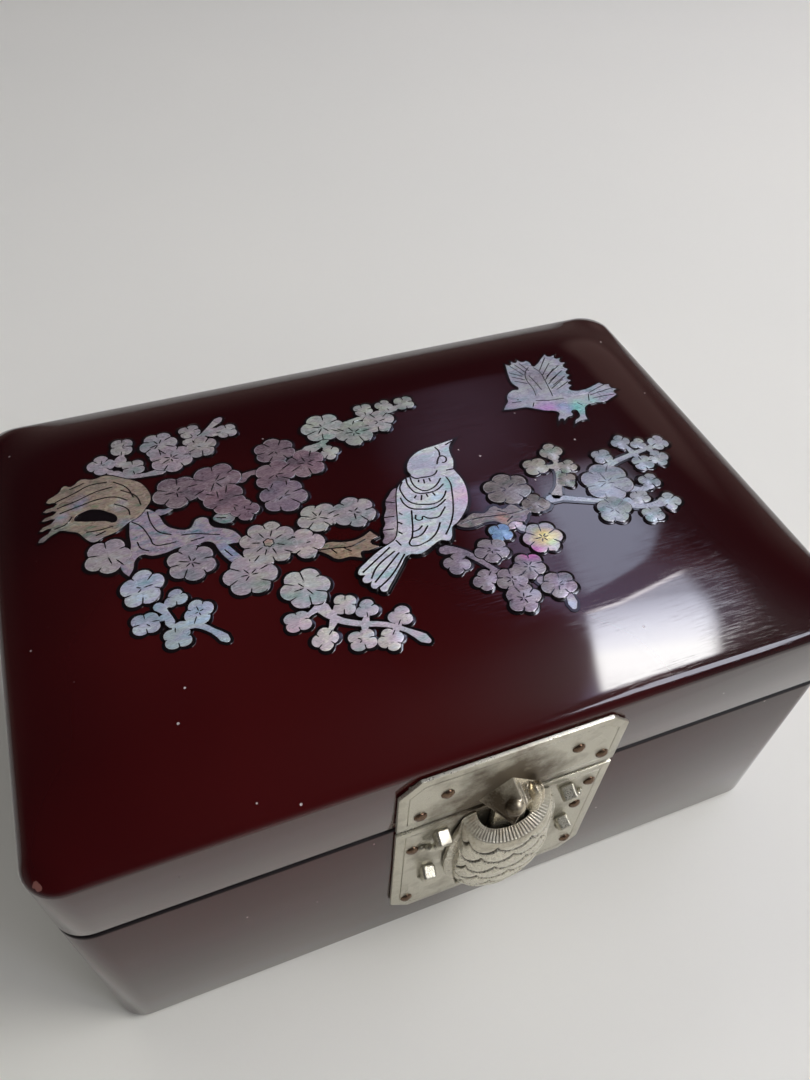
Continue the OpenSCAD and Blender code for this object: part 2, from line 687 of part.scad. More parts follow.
module perched_bird_plan() polygon([
    [20.4, 15.2], [15.6, 14], [12, 14.2], [8, 12.4], [6, 9], [5.6, 5.4], [1, 3.6], [-4, -2],
    [-7, -9], [-14.6, -18.4], [-12.6, -23.6], [-7, -21], [-1.8, -16.6], [4, -16], [11, -11.6],
    [15, -6.4], [17, 0], [16.6, 5.6], [18, 9], [17.4, 11.8]
]);
module flying_bird_plan() polygon([
    [38.2, 22], [41, 25.6], [43.6, 28], [45.2, 28], [45.4, 34], [47, 39.6], [51.6, 40], [54.4, 37],
    [58.6, 40.2], [62.2, 37.8], [61.8, 31], [60, 24.6], [61.2, 22.6], [68.6, 24], [71, 21],
    [67, 17.2], [60.6, 17.6], [57, 15.4], [56.8, 12.8], [54, 12], [55.4, 15.4], [50.6, 14.4],
    [51, 17], [46, 20.2], [41.4, 21.6]
]);
module trunk_plan() polygon([
    [-70, 27.6], [-62, 28.6], [-56, 26], [-53, 21], [-53.6, 14.6], [-51.6, 8.6], [-46, 6.4],
    [-41, 7.6], [-39.6, 3.8], [-37.4, 0.6], [-42.4, -0.6], [-46, 2.2], [-53, 1], [-57, 3],
    [-60, -1.4], [-60.6, 3], [-58.6, 9], [-60, 12.6], [-66, 10.6], [-70, 14.6],
    [-70, 17], [-63, 15.4], [-61, 18.6], [-65, 20.6], [-70, 20]
]);
module leaves_plan() {
    polygon([[-21.6, -7.8], [-15, -8.6], [-9.6, -11.8], [-13.4, -13.2], [-19, -12.4]]);
    polygon([[-12.6, -8.8], [-9.4, -7.4], [-8, -9.6], [-10.6, -10.4]]);
    polygon([[12.6, -11.2], [22, -9.6], [33, -10], [33, -12.6], [24, -14], [19, -13.2], [12.6, -14.4]]);
}

module sprays(list, chains) {
    blossoms(list);
    for (c = chains) stem(c);
}
module sprays_left() sprays(blossoms_left, stems_left);
module sprays_middle() sprays(blossoms_middle, stems_middle);
module sprays_right() sprays(blossoms_right, stems_right);

// The picture is drawn 144 mm wide, and taken to its named width here
drawn_w = 144;
module inlay() raise(field_z, field_z + inlay_t) scale(inlay_w / drawn_w) children();

module inlay_perched_bird() color("#c9d3df") inlay() perched_bird_plan();
module inlay_flying_bird() color("#cfc4d6") inlay() flying_bird_plan();
module inlay_sprays_left() color("#b7a3b0") inlay() sprays_left();
module inlay_sprays_middle() color("#c4c9c6") inlay() sprays_middle();
module inlay_sprays_right() color("#aebfc6") inlay() sprays_right();
module inlay_trunk() color("#9a8a78") inlay() difference() {
    trunk_plan();
    sprays_left();
}
module inlay_leaves() color("#a88a4c") inlay() difference() {
    leaves_plan();
    sprays_middle();
    sprays_right();
    perched_bird_plan();
}

// -------------------------------------------------------------------- nodes

body_front_board();
body_back_board();
body_left_board();
body_right_board();
base_board();
base_felt();
lining_front();
lining_back();
lining_left();
lining_right();
lining_floor();
divider_long();
divider_cross();
ring_bed();
ring_roll(1);  // ring_roll_1
ring_roll(2);  // ring_roll_2
ring_roll(3);  // ring_roll_3
ring_roll(4);  // ring_roll_4
ring_roll(5);  // ring_roll_5
lid_front_board();
lid_back_board();
lid_left_board();
lid_right_board();
lid_top_board();
mirror_backing();
mirror_glass();
mirror_frame();
lid_lining_front();
lid_lining_back();
lid_lining_left();
lid_lining_right();
upper_plate();
upper_plate_nails();
turtle_head();
lower_plate();
lower_plate_nails();
turtle_shell();
shell_pin();
shell_spring();
body_leaf(0);  // hinge_left_body_leaf
body_leaf(1);  // hinge_right_body_leaf
lid_leaf(0);  // hinge_left_lid_leaf
lid_leaf(1);  // hinge_right_lid_leaf
hinge_pin(0);  // hinge_left_pin
hinge_pin(1);  // hinge_right_pin
hinge_nails(-1);  // hinge_body_nails
hinge_nails(1);  // hinge_lid_nails
inlay_trunk();
inlay_leaves();
inlay_sprays_left();
inlay_sprays_middle();
inlay_sprays_right();
inlay_perched_bird();
inlay_flying_bird();
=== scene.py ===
# %% [markdown]
# # A lacquered jewelry box with a shell inlay
# The real object is a small wooden box under deep red lacquer. Its domed lid carries a
# picture of blossom sprays and two birds, cut from thin shell and set into the lacquer.
# A cast turtle on two engraved plates is the latch at the front.
# This lesson builds the looks of that box around a finished CAD model. The CAD model,
# called the frame here, gives every size and place, so each piece is fitted to it.

# %% Load the frame
import math
import random

import bmesh
import bpy
from mathutils import Matrix, Vector


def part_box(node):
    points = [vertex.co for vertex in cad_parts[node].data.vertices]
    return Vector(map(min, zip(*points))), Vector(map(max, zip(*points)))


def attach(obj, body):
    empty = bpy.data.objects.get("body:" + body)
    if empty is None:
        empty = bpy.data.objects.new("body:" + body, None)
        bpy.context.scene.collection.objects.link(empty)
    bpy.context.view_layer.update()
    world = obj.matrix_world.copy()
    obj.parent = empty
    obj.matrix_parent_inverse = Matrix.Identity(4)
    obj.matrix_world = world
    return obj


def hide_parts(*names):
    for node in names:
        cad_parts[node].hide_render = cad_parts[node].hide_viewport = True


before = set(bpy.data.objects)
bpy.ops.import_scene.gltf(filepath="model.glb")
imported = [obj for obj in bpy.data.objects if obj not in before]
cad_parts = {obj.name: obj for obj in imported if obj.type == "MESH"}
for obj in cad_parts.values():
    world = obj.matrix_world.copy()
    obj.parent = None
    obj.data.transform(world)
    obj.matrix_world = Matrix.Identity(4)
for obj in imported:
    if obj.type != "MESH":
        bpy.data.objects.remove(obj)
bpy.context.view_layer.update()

MM = 0.001

# %% [markdown]
# ## Small tools for modelling
# Blender's operators act on whatever is selected, and everything that was just loaded is
# selected. So each step first deselects all, and then picks faces or edges by their place.
# A finished piece rests at the origin, unturned and unscaled, with its place in its mesh,
# because a pattern in object coordinates would otherwise slide when the piece is moved.

# %% Tools to select and edit
ELEMENT_MODES = {"verts": "VERT", "edges": "EDGE", "faces": "FACE"}


def only(piece):
    """Make this piece the only selected one."""
    bpy.ops.object.select_all(action="DESELECT")
    piece.select_set(True)
    bpy.context.view_layer.objects.active = piece
    return piece


def edit(piece):
    only(piece)
    bpy.ops.object.mode_set(mode="EDIT")
    bpy.ops.mesh.select_all(action="DESELECT")


def leave():
    bpy.ops.object.mode_set(mode="OBJECT")


def pick(kind, test):
    """Select, in edit mode, the elements whose middle passes the test."""
    bpy.ops.mesh.select_mode(type=ELEMENT_MODES[kind])
    bpy.ops.mesh.select_all(action="DESELECT")
    mesh = bpy.context.edit_object.data
    form = bmesh.from_edit_mesh(mesh)
    for element in getattr(form, kind):
        corners = [element.co] if kind == "verts" else [v.co for v in element.verts]
        middle = sum(corners, Vector()) / len(corners)
        element.select_set(bool(test(middle, element)))
    form.select_flush_mode()
    bmesh.update_edit_mesh(mesh)


def is_upright(edge):
    """True for an edge that runs straight up."""
    a, b = (v.co for v in edge.verts)
    return (a.xy - b.xy).length < 0.01 * abs(a.z - b.z)


def settle(piece, name):
    """Move the piece's place, turn and size into its mesh, and name it."""
    only(piece)
    bpy.ops.object.transform_apply(location=True, rotation=True, scale=True)
    piece.name = piece.data.name = name
    return piece


def modify(piece, kind, **settings):
    """Add a modifier, set it and apply it at once."""
    only(piece)
    modifier = piece.modifiers.new(kind.lower(), kind)
    for key, value in settings.items():
        setattr(modifier, key, value)
    bpy.ops.object.modifier_apply(modifier=modifier.name)


def smooth(piece, degrees=35):
    """Smooth shading that keeps the edges sharper than this angle."""
    only(piece)
    bpy.ops.object.shade_smooth_by_angle(angle=math.radians(degrees))
    return piece


def outward(piece, doubles=0.00001):
    """Merge doubles and turn every face outwards."""
    edit(piece)
    bpy.ops.mesh.select_all(action="SELECT")
    bpy.ops.mesh.remove_doubles(threshold=doubles)
    bpy.ops.mesh.normals_make_consistent(inside=False)
    leave()
    return piece


def join(pieces, name):
    """Join several pieces into one mesh."""
    bpy.ops.object.select_all(action="DESELECT")
    for piece in pieces:
        piece.select_set(True)
    bpy.context.view_layer.objects.active = pieces[0]
    if len(pieces) > 1:
        bpy.ops.object.join()
    pieces[0].name = pieces[0].data.name = name
    return pieces[0]


def twin(piece, matrix):
    """A copy with a mesh of its own, moved by a matrix."""
    copy = piece.copy()
    copy.data = piece.data.copy()
    bpy.context.collection.objects.link(copy)
    copy.data.transform(matrix)
    return copy


def box_block(low, high):
    """A cube primitive that fills the box between two corners."""
    low, high = Vector(low), Vector(high)
    bpy.ops.object.select_all(action="DESELECT")
    bpy.ops.mesh.primitive_cube_add(size=1, location=(low + high) / 2)
    piece = bpy.context.object
    piece.scale = high - low
    return settle(piece, "block")


def hand_in(piece, body, material, slot, *nodes):
    """Give a finished piece its material, body and the CAD nodes it stands for; the slot is not used."""
    piece.data.materials.clear()
    piece.data.materials.append(material)
    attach(piece, body)
    if nodes:
        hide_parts(*nodes)
    print(f"{piece.name}: {len(piece.data.vertices)} vertices, for {', '.join(nodes) or 'trim'}")
    return piece


# %% [markdown]
# ## Small tools for materials
# A material is a tree of nodes. Written out, node by node, such a tree is long and hard
# to read, so a small class wraps an output socket: adding or multiplying two of them adds
# the Math node that does it. All other nodes come from one method.

# %% Tools for shader maths
class Wire:
    """One output socket of a finish."""

    def __init__(self, finish, socket):
        self.finish, self.socket = finish, socket

    def maths(self, operation, first, second):
        return self.finish.node("Math", {"operation": operation}, {0: first, 1: second})

    def __add__(self, other):
        return self.maths("ADD", self, other)

    def __sub__(self, other):
        return self.maths("SUBTRACT", self, other)

    def __rsub__(self, other):
        return self.maths("SUBTRACT", other, self)

    def __mul__(self, other):
        return self.maths("MULTIPLY", self, other)

    def __gt__(self, other):
        return self.maths("GREATER_THAN", self, other)

    def __lt__(self, other):
        return self.maths("LESS_THAN", self, other)

    __radd__, __rmul__ = __add__, __mul__


class Finish:
    """A material under construction."""

    def __init__(self, name):
        self.material = bpy.data.materials.new(name)
        self.material.use_nodes = True
        self.tree = self.material.node_tree
        self.tree.nodes.clear()

    def node(self, kind, settings=None, sockets=None, output=0):
        node = self.tree.nodes.new("ShaderNode" + kind)
        for key, value in (settings or {}).items():
            if key == "stops":
                ramp = node.color_ramp.elements
                while len(ramp) < len(value):
                    ramp.new(0.5)
                for element, (place, colour) in zip(ramp, value):
                    element.position, element.color = place, colour
            else:
                setattr(node, key, value)
        for key, value in (sockets or {}).items():
            if isinstance(value, Wire):
                self.tree.links.new(value.socket, node.inputs[key])
            else:
                node.inputs[key].default_value = value
        return Wire(self, node.outputs[output])

    def place(self, scale=(1, 1, 1), turn=(0, 0, 0), shift=(0, 0, 0)):
        """Object coordinates in metres, stretched, turned and shifted."""
        where = self.node("TexCoord", output="Object")
        sockets = {"Vector": where, "Scale": scale, "Rotation": turn, "Location": shift}
        return self.node("Mapping", None, sockets)

    def noise(self, size, detail=3, where=None, roughness=0.5):
        """Noise from 0 to 1 whose lumps are about this size in metres."""
        sockets = {"Scale": 1 / size, "Detail": detail, "Roughness": roughness}
        sockets["Vector"] = where or self.place()
        return self.node("TexNoise", None, sockets)

    def near(self, point, radius, core=0.0, where=None):
        """1 round a point, fading to 0 at this distance from it, in millimetres."""
        point = tuple(v * MM for v in point)
        sockets = {0: where or self.place(), 1: point}
        away = self.node("VectorMath", {"operation": "DISTANCE"}, sockets, "Value")
        return self.steps(away, radius * MM, radius * core * MM)

    def steps(self, value, low, high):
        """The value stretched so that low becomes 0 and high becomes 1."""
        sockets = {"Value": value, "From Min": low, "From Max": high}
        return self.node("MapRange", {"clamp": True}, sockets)

    def mix(self, factor, first, second, blend="MIX"):
        """A mix of two colours."""
        settings = {"data_type": "RGBA", "blend_type": blend}
        return self.node("Mix", settings, {0: factor, 6: first, 7: second}, 2)

    def ramp(self, value, *stops):
        return self.node("ValToRGB", {"stops": stops}, {"Fac": value})

    def bump(self, height, depth, strength=1.0):
        """A normal that follows a height from 0 to 1, this many metres deep."""
        sockets = {"Height": height, "Distance": depth, "Strength": strength}
        return self.node("Bump", None, sockets)

    def shader(self, **sockets):
        """The surface itself, and the finished material."""
        named = {key.replace("_", " "): value for key, value in sockets.items()}
        surface = self.node("BsdfPrincipled", None, named)
        output = self.tree.nodes.new("ShaderNodeOutputMaterial")
        self.tree.links.new(surface.socket, output.inputs["Surface"])
        return self.material


def tone(red, green, blue):
    """A colour written as it looks on a screen, from 0 to 255, made linear for Blender."""
    def linear(value):
        value /= 255
        return value / 12.92 if value <= 0.04045 else ((value + 0.055) / 1.055) ** 2.4
    return (linear(red), linear(green), linear(blue), 1)


# %% [markdown]
# ## The lacquer
# The box wears many thin coats of lacquer, rubbed until they shine. The red is so deep
# that it is nearly black. Years of handling have left hairline scratches and a little
# dust. So the colour drifts between two reds on a very soft noise, and toward the lid's
# front left it is painted a lighter red, a painted glow of light. Stretched noises, each
# turned another way, make the hairlines.
# Round the gap between the lid and the body the lacquer is painted black: painted shade of the gap.

# %% Lacquer finishes
def hairlines(finish, width, length, turns, low):
    """Thin straight scratches in several directions, from 0 to 1."""
    total = None
    for number, turn in enumerate(turns):
        where = finish.place((1 / length, 1 / width, 1 / width), (0, 0, math.radians(turn)),
                             (3.1 * number, 1.7 * number, 0))
        line = finish.steps(finish.noise(1, 1, where), low, low + 0.05)
        if total is None:
            total = line
        else:
            total = finish.node("Math", {"operation": "MAXIMUM"}, {0: total, 1: line})
    return total


SHADE_BAND_LOW, SHADE_BAND_HIGH, SHADE_BAND_SOFT = 58.9 * MM, 61.6 * MM, 0.5 * MM


def make_lacquer(name, deep, glow, haze, index, scratched=True):
    """Deep red lacquer; a rough coat over the mirror gives the haze round a bright lamp."""
    finish = Finish(name)
    # Painted light: the spot round the front left paints the red lighter, as if lit there; the soft noise
    # is the lacquer's own drift.
    drift_and_painted_light = finish.near((-30, -60, 88), 120) * 0.9 + finish.noise(60 * MM, 2) * 0.9
    drift_and_painted_light = finish.steps(drift_and_painted_light, 0.55, 1.15)
    colour = finish.mix(drift_and_painted_light, deep, glow)
    dust_spots = finish.node("TexVoronoi", None, {"Vector": finish.place(), "Scale": 1 / (6 * MM)})
    patchy = finish.steps(finish.noise(35 * MM, 2), 0.48, 0.6)
    dust = (dust_spots < 0.045) * patchy
    rough = 0.035 + finish.noise(20 * MM, 3) * 0.02
    height = finish.noise(14 * MM, 1) * 0.5
    if scratched:
        lines = hairlines(finish, 0.16 * MM, 9 * MM, (18, 63, 104, 151), 0.66)
        lines = lines * finish.steps(finish.noise(28 * MM, 2), 0.42, 0.6)
        rough = rough + lines * 0.05
        height = height + lines * 0.06
        ragged = finish.near((-87, -59.6, 82.4), 2.3) + finish.noise(1.0 * MM) * 0.5
        chip = finish.steps(ragged, 0.86, 0.94)
        colour = finish.mix(chip, colour, tone(118, 74, 66))
        rough = rough + chip * 0.5
    # Painted shade: a band round the gap between lid and body is painted near black and rougher.
    level = finish.node("SeparateXYZ", None, {0: finish.place()}, "Z")
    seam = (finish.steps(level, SHADE_BAND_LOW, SHADE_BAND_LOW + SHADE_BAND_SOFT)
            * finish.steps(level, SHADE_BAND_HIGH, SHADE_BAND_HIGH - SHADE_BAND_SOFT))
    colour = finish.mix(seam * 0.95, colour, tone(5, 3, 4))
    rough = rough + seam * 0.5
    colour = finish.mix(dust * 0.7, colour, tone(205, 192, 188))
    rough = rough + dust * 0.4
    normal = finish.bump(height, 0.06 * MM, 0.5)
    return finish.shader(Base_Color=colour, Roughness=rough, Normal=normal, IOR=index,
                         Coat_Weight=haze, Coat_Roughness=0.3, Coat_IOR=1.5)


LID_RED = make_lacquer("lid_lacquer_red", tone(36, 3, 4), tone(58, 8, 8), 0.14, 1.55)
BODY_RED = make_lacquer("body_lacquer_red", tone(42, 8, 8), tone(58, 12, 10), 0.05, 1.45, scratched=False)
print("lacquers:", LID_RED.name, BODY_RED.name)

# %% [markdown]
# ## The walls of the body
# Four boards are mitred and covered by one skin of lacquer, so they look like one ring
# with rounded upright corners. A cube is opened through from top to bottom: both ends are
# inset by the wall's thickness, the inner faces are deleted, and the two openings are
# bridged. A small bevel softens the rims, as many coats of lacquer do.

# %% Body walls
CORNER_R = 7.5 * MM
WALL_T = 6 * MM
left_low, left_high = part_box("body_left_board")
right_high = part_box("body_right_board")[1]
front_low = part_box("body_front_board")[0]
back_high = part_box("body_back_board")[1]
body_low = Vector((left_low.x, front_low.y, left_low.z))
body_high = Vector((right_high.x, back_high.y, left_high.z))
RIM_BEVEL = 0.7 * MM


def round_corners():
    """Round the four upright edges."""
    def at_corner(middle, edge):
        ends = Vector((abs(middle.x) - body_high.x, abs(middle.y) - body_high.y))
        return is_upright(edge) and ends.length < 0.1 * MM

    pick("edges", at_corner)
    bpy.ops.mesh.bevel(offset=CORNER_R, segments=10, affect="EDGES")


def end_face(side):
    """Pick the top (1) or bottom (-1) face."""
    pick("faces", lambda middle, face: face.normal.z * side > 0.999)


def soften_rim(side):
    """Bevel the outer edge of the top (1) or bottom (-1) face."""
    end_face(side)
    bpy.ops.mesh.region_to_loop()
    bpy.ops.mesh.bevel(offset=RIM_BEVEL, segments=3)


body_walls = box_block(body_low, body_high)
edit(body_walls)
round_corners()
for side in (1, -1):
    soften_rim(side)
for side in (1, -1):
    end_face(side)
    bpy.ops.mesh.inset(thickness=WALL_T - RIM_BEVEL)
    bpy.ops.mesh.delete(type="FACE")
pick("edges", lambda middle, edge: edge.is_boundary)
bpy.ops.mesh.bridge_edge_loops()
leave()
outward(body_walls)
modify(body_walls, "BEVEL", width=0.1 * MM, segments=1, limit_method="ANGLE",
       angle_limit=math.radians(60))
smooth(settle(body_walls, "body_walls"))
hand_in(body_walls, "base", BODY_RED, "lacquered_wood",
        "body_front_board", "body_back_board", "body_left_board", "body_right_board")
print("body walls, mm:", [round(v / MM, 1) for v in body_high - body_low])

# %% [markdown]
# ## The domed lid
# The lid rises from a crisp crest over a soft shoulder to a flat field. Its ridges from
# the corners to the field are rubbed so soft that no line shows. So the top face is drawn
# in ring by ring, and each point of a ring then takes its height from two soft slopes, one
# for each pair of sides, multiplied together. Where both slopes meet, the ridge is round.

# %% Lid
top_low, top_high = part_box("lid_top_board")
LID_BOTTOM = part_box("lid_left_board")[0].z
LID_LOW = LID_BOTTOM + 0.5 * MM  # this makes the dark gap under the lid wider
CEILING = top_low.z
CREST = top_high.z - 5.5 * MM
FIELD = top_high.z
HALF_W, HALF_D = top_high.x, top_high.y
SHOULDER = 25.3 * MM
SHOULDER_POWER = 2.3
EDGE_ARCS = ((90, 50, 1.5 * MM, 4), (50, 26, 6.5 * MM, 7))


def edge_profile():
    """Steps up the rounded crest, as (inset, height) from the top of the wall."""
    inset, height, steps = 0, 0, []
    for start, end, radius, count in EDGE_ARCS:
        tilts = [math.radians(start + (end - start) * i / count) for i in range(count + 1)]
        for a, b in zip(tilts, tilts[1:]):
            inset += radius * (math.sin(a) - math.sin(b))
            height += radius * (math.cos(b) - math.cos(a))
            steps.append((inset, height))
    return steps


EDGE = edge_profile()
EDGE_IN, EDGE_H = EDGE[-1]


def slope(distance):
    """Share of the dome's height at this distance in from a side."""
    t = min(max((distance - EDGE_IN) / SHOULDER, 0), 1)
    return 1 - (1 - t) ** SHOULDER_POWER


def dome(x, y):
    return CREST + (FIELD - CREST) * slope(HALF_W - abs(x)) * slope(HALF_D - abs(y))


lid_walls = box_block((-HALF_W, -HALF_D, LID_LOW), (HALF_W, HALF_D, CREST - EDGE_H))
edit(lid_walls)
round_corners()
soften_rim(-1)
end_face(-1)
bpy.ops.mesh.inset(thickness=WALL_T - RIM_BEVEL)
bpy.ops.mesh.extrude_region_move(TRANSFORM_OT_translate={"value": (0, 0, CEILING - LID_LOW)})
for axis, cuts in ((0, 63), (1, 43)):
    def on_crest(middle, edge, axis=axis):
        run = edge.verts[0].co - edge.verts[1].co
        long_way = abs(run[axis]) > 50 * MM and abs(run[1 - axis]) < 0.01 * MM
        return long_way and middle.z > CREST - EDGE_H - 0.1 * MM

    pick("edges", on_crest)
    bpy.ops.mesh.subdivide(number_cuts=cuts)
leave()
outward(lid_walls)
print("lid block:", len(lid_walls.data.vertices), "vertices")

# %% Draw in the dome and hollow the lid
def draw_in(rings):
    """Extrude the picked top face ring by ring; each ring is (inset, height)."""
    inset_before = 0
    for inset, height in rings:
        bpy.ops.mesh.extrude_region_move()
        share_x = (HALF_W - inset) / (HALF_W - inset_before)
        share_y = (HALF_D - inset) / (HALF_D - inset_before)
        bpy.ops.transform.resize(value=(share_x, share_y, 1), center_override=(0, 0, 0))
        bpy.ops.transform.translate(value=(0, 0, height))
        inset_before = inset


heights = [0] + [height for inset, height in EDGE]
edge_rings = [(inset, height - before) for (inset, height), before in zip(EDGE, heights)]
RINGS, HARDLY_UP = 16, 0.0001 * MM
dome_rings = [(EDGE_IN + SHOULDER * step / RINGS, HARDLY_UP) for step in range(1, RINGS + 1)]
dome_rings += [(inset * MM, HARDLY_UP) for inset in (31, 36, 42)]

edit(lid_walls)
pick("faces", lambda middle, face: face.normal.z > 0.999 and middle.z > CEILING + 1 * MM)
draw_in(edge_rings + dome_rings)
leave()
for vertex in lid_walls.data.vertices:
    if vertex.co.z > CREST - 0.00001 * MM:
        vertex.co.z = dome(vertex.co.x, vertex.co.y)
outward(lid_walls, 0.0000001)
modify(lid_walls, "BEVEL", width=0.1 * MM, segments=1, limit_method="ANGLE", angle_limit=math.radians(60))
smooth(settle(lid_walls, "lid_dome"))
hand_in(lid_walls, "lid", LID_RED, "lacquered_wood", "lid_front_board", "lid_back_board",
        "lid_left_board", "lid_right_board", "lid_top_board")
print("dome height, mm:", round((FIELD - CREST) / MM, 2))

# %% [markdown]
# ## The shell finish
# Mother of pearl and abalone are stacks of thin layers, so one piece of shell can look
# silver, pink or sea green from place to place. Each piece of the picture keeps its own
# tint as a colour attribute on its mesh, and a soft, stretched noise plays pastel colours
# over it. A second finish plays stronger colours, for the abalone at the root.

# %% Shell and line finishes
def make_shell(name, play, size, spots):
    """Each spot is (x, y, radius, strength, colour) and lends the shell another tint there."""
    finish = Finish(name)
    colour = finish.node("Attribute", {"attribute_name": "tint"}, output="Color")
    where = finish.place()
    ripple = finish.node("TexNoise", None, {"Vector": where, "Scale": 1 / (5 * MM)}, "Color")
    wavy = finish.mix(0.0035, where, ripple, "ADD")
    for x, y, radius, strength, glow in spots:
        share = finish.near((x, y, 89), radius, 0.35, wavy) * strength
        colour = finish.mix(share, colour, tone(*glow))
    sheet = finish.noise(size, 2.5, finish.place((1, 2.2, 1), (0, 0, math.radians(35))))
    rainbow = finish.ramp(sheet, (0.28, (0.45, 1, 0.86, 1)), (0.40, (0.88, 0.94, 1, 1)),
                          (0.50, (1, 0.76, 0.90, 1)), (0.60, (1, 1, 0.74, 1)), (0.74, (0.62, 0.86, 1, 1)))
    colour = finish.mix(play, colour, finish.mix(1, colour, rainbow, "MULTIPLY"))
    growth = finish.noise(0.9 * MM, 3, finish.place((1, 5, 1), (0, 0, math.radians(-20))))
    shade = finish.steps(growth + sheet * 0.6, 0.55, 1.05)
    colour = finish.mix(shade, finish.mix(0.46, colour, tone(46, 38, 42)),
                        finish.mix(0.22, colour, (1, 1, 1, 1)))
    return finish.shader(Base_Color=colour, Metallic=0.25, Roughness=finish.noise(3 * MM) * 0.2 + 0.18,
                         Normal=finish.bump(growth, 0.03 * MM, 0.6), Coat_Weight=0.5,
                         Coat_Roughness=0.05)


def make_line_lacquer():
    """The black lacquer that stands in the cut lines and round the shell."""
    finish = Finish("line_lacquer")
    mottle = finish.noise(5 * MM, 3)
    colour = finish.mix(mottle, tone(6, 5, 6), tone(24, 16, 17))
    return finish.shader(Base_Color=colour, Roughness=mottle * 0.1 + 0.1,
                         Normal=finish.bump(mottle, 0.05 * MM, 0.6), Coat_Weight=0.5)


PEARL = make_shell("mother_of_pearl", 0.6, 7 * MM, [
    (-60.4, -16.5, 4.5, 0.8, (216, 230, 252)), (-63, -8.5, 3.5, 0.7, (150, 154, 112)),
    (-50, -16.5, 4, 0.6, (206, 224, 240)), (-31.5, -26, 5, 0.8, (236, 206, 216)),
    (-26, -22, 3.5, 0.8, (218, 226, 246)), (-29, -16.5, 3.5, 0.7, (206, 198, 168)),
    (-34, -12, 4, 0.7, (150, 168, 140)), (-34, -1, 3, 0.5, (214, 198, 150)),
    (-17, -37, 7, 0.6, (222, 200, 206)), (-46.5, 32, 4, 0.5, (150, 118, 134)),
    (11, 9.5, 7.5, 0.85, (196, 204, 222)), (17, -2.5, 5, 0.9, (250, 206, 240)),
    (13.5, -8.5, 4, 0.8, (206, 188, 216)), (15.8, 4, 3.5, 0.9, (246, 250, 255)),
    (9, -6.5, 5.5, 0.7, (214, 240, 238)), (-0.5, -6, 4.5, 0.8, (250, 250, 255)),
    (-13.5, -19, 4.5, 0.8, (242, 242, 255)), (42, 25, 3.8, 0.85, (156, 122, 160)),
    (45.6, 22, 3, 0.9, (96, 170, 186)), (50.4, 20, 4.6, 0.95, (218, 138, 226)),
    (55, 19, 3.4, 0.95, (120, 160, 250)), (59, 18.4, 4.4, 0.95, (96, 240, 214)),
    (64, 20.4, 3, 0.9, (120, 200, 206)), (69, 18.6, 3.4, 0.9, (232, 176, 228)),
    (54, 32.6, 8, 0.8, (136, 130, 140)),
    (24.2, -22.8, 4.4, 1, (255, 84, 226)), (29.4, -20, 4.4, 1, (255, 232, 40)),
    (30.4, -22.8, 2.8, 1, (80, 224, 120)), (27.6, -25, 2.8, 0.95, (255, 136, 176)),
    (27, -17.6, 2.2, 0.8, (238, 240, 246)), (31, -10.6, 2.2, 0.9, (196, 112, 84)),
    (28.8, -12.4, 2, 0.9, (130, 196, 132)), (24.4, -38, 5, 0.8, (206, 206, 222))])
ABALONE = make_shell("abalone_shell", 1.0, 3.2 * MM, [
    (-67, 24.4, 3.4, 0.9, (132, 142, 186)), (-71, 20.6, 3, 0.9, (182, 184, 196)),
    (-58.6, 20.4, 3.4, 0.9, (176, 184, 196)), (-62, 28, 3.6, 0.9, (104, 96, 58)),
    (-72.5, 17, 3.4, 0.8, (104, 130, 110)), (-69, 27.6, 4, 0.8, (116, 88, 60)),
    (-76, 22, 5, 0.7, (92, 74, 54)), (-76.4, 16.4, 3.4, 0.7, (84, 82, 90)),
    (-64, 21, 2.4, 0.8, (200, 176, 120)), (-66, 11, 4.5, 0.8, (150, 146, 156)),
    (-38.4, -1.4, 4.5, 0.8, (152, 186, 222)), (-43.6, 7, 3.4, 0.8, (120, 142, 168)),
    (-55, 2, 4.5, 0.7, (150, 116, 138)), (-58, 14, 3.4, 0.8, (124, 150, 170)),
    (22.6, -11, 3, 0.9, (206, 130, 66)), (27.4, -13.6, 2.6, 0.9, (150, 110, 170)),
    (14, -11.6, 2.4, 0.8, (168, 140, 96)), (-15, -11, 4.4, 0.9, (176, 142, 82)),
    (-21, -9, 2.4, 0.9, (168, 168, 206)), (-40, 7.6, 2.2, 0.9, (96, 120, 108))])
LINE_BLACK = make_line_lacquer()

# %% [markdown]
# ## Blanks for the blossoms
# A blossom is a circle primitive with eight points to a petal. The points between two
# petals are drawn in towards the middle, which leaves round lobes. The blank is then
# extruded to a thin plate with a soft edge. Its cut lines are needles of black lacquer:
# one in each gap between two petals, and a small star in the middle.

# %% Blossom blanks
POINTS_PER_LOBE = 8
SHELL_T = 0.30


def lobe_reach(share, lobes):
    """Radius of the outline at this share of the way from a notch to a lobe's middle."""
    out = {3: 0.42, 4: 0.47, 5: 0.53, 6: 0.57, 8: 0.68}[lobes]
    off = (1 - share) * math.pi / lobes
    side = out * math.sin(off)
    return out * math.cos(off) + math.sqrt(max((1 - out) ** 2 - side ** 2, 0))


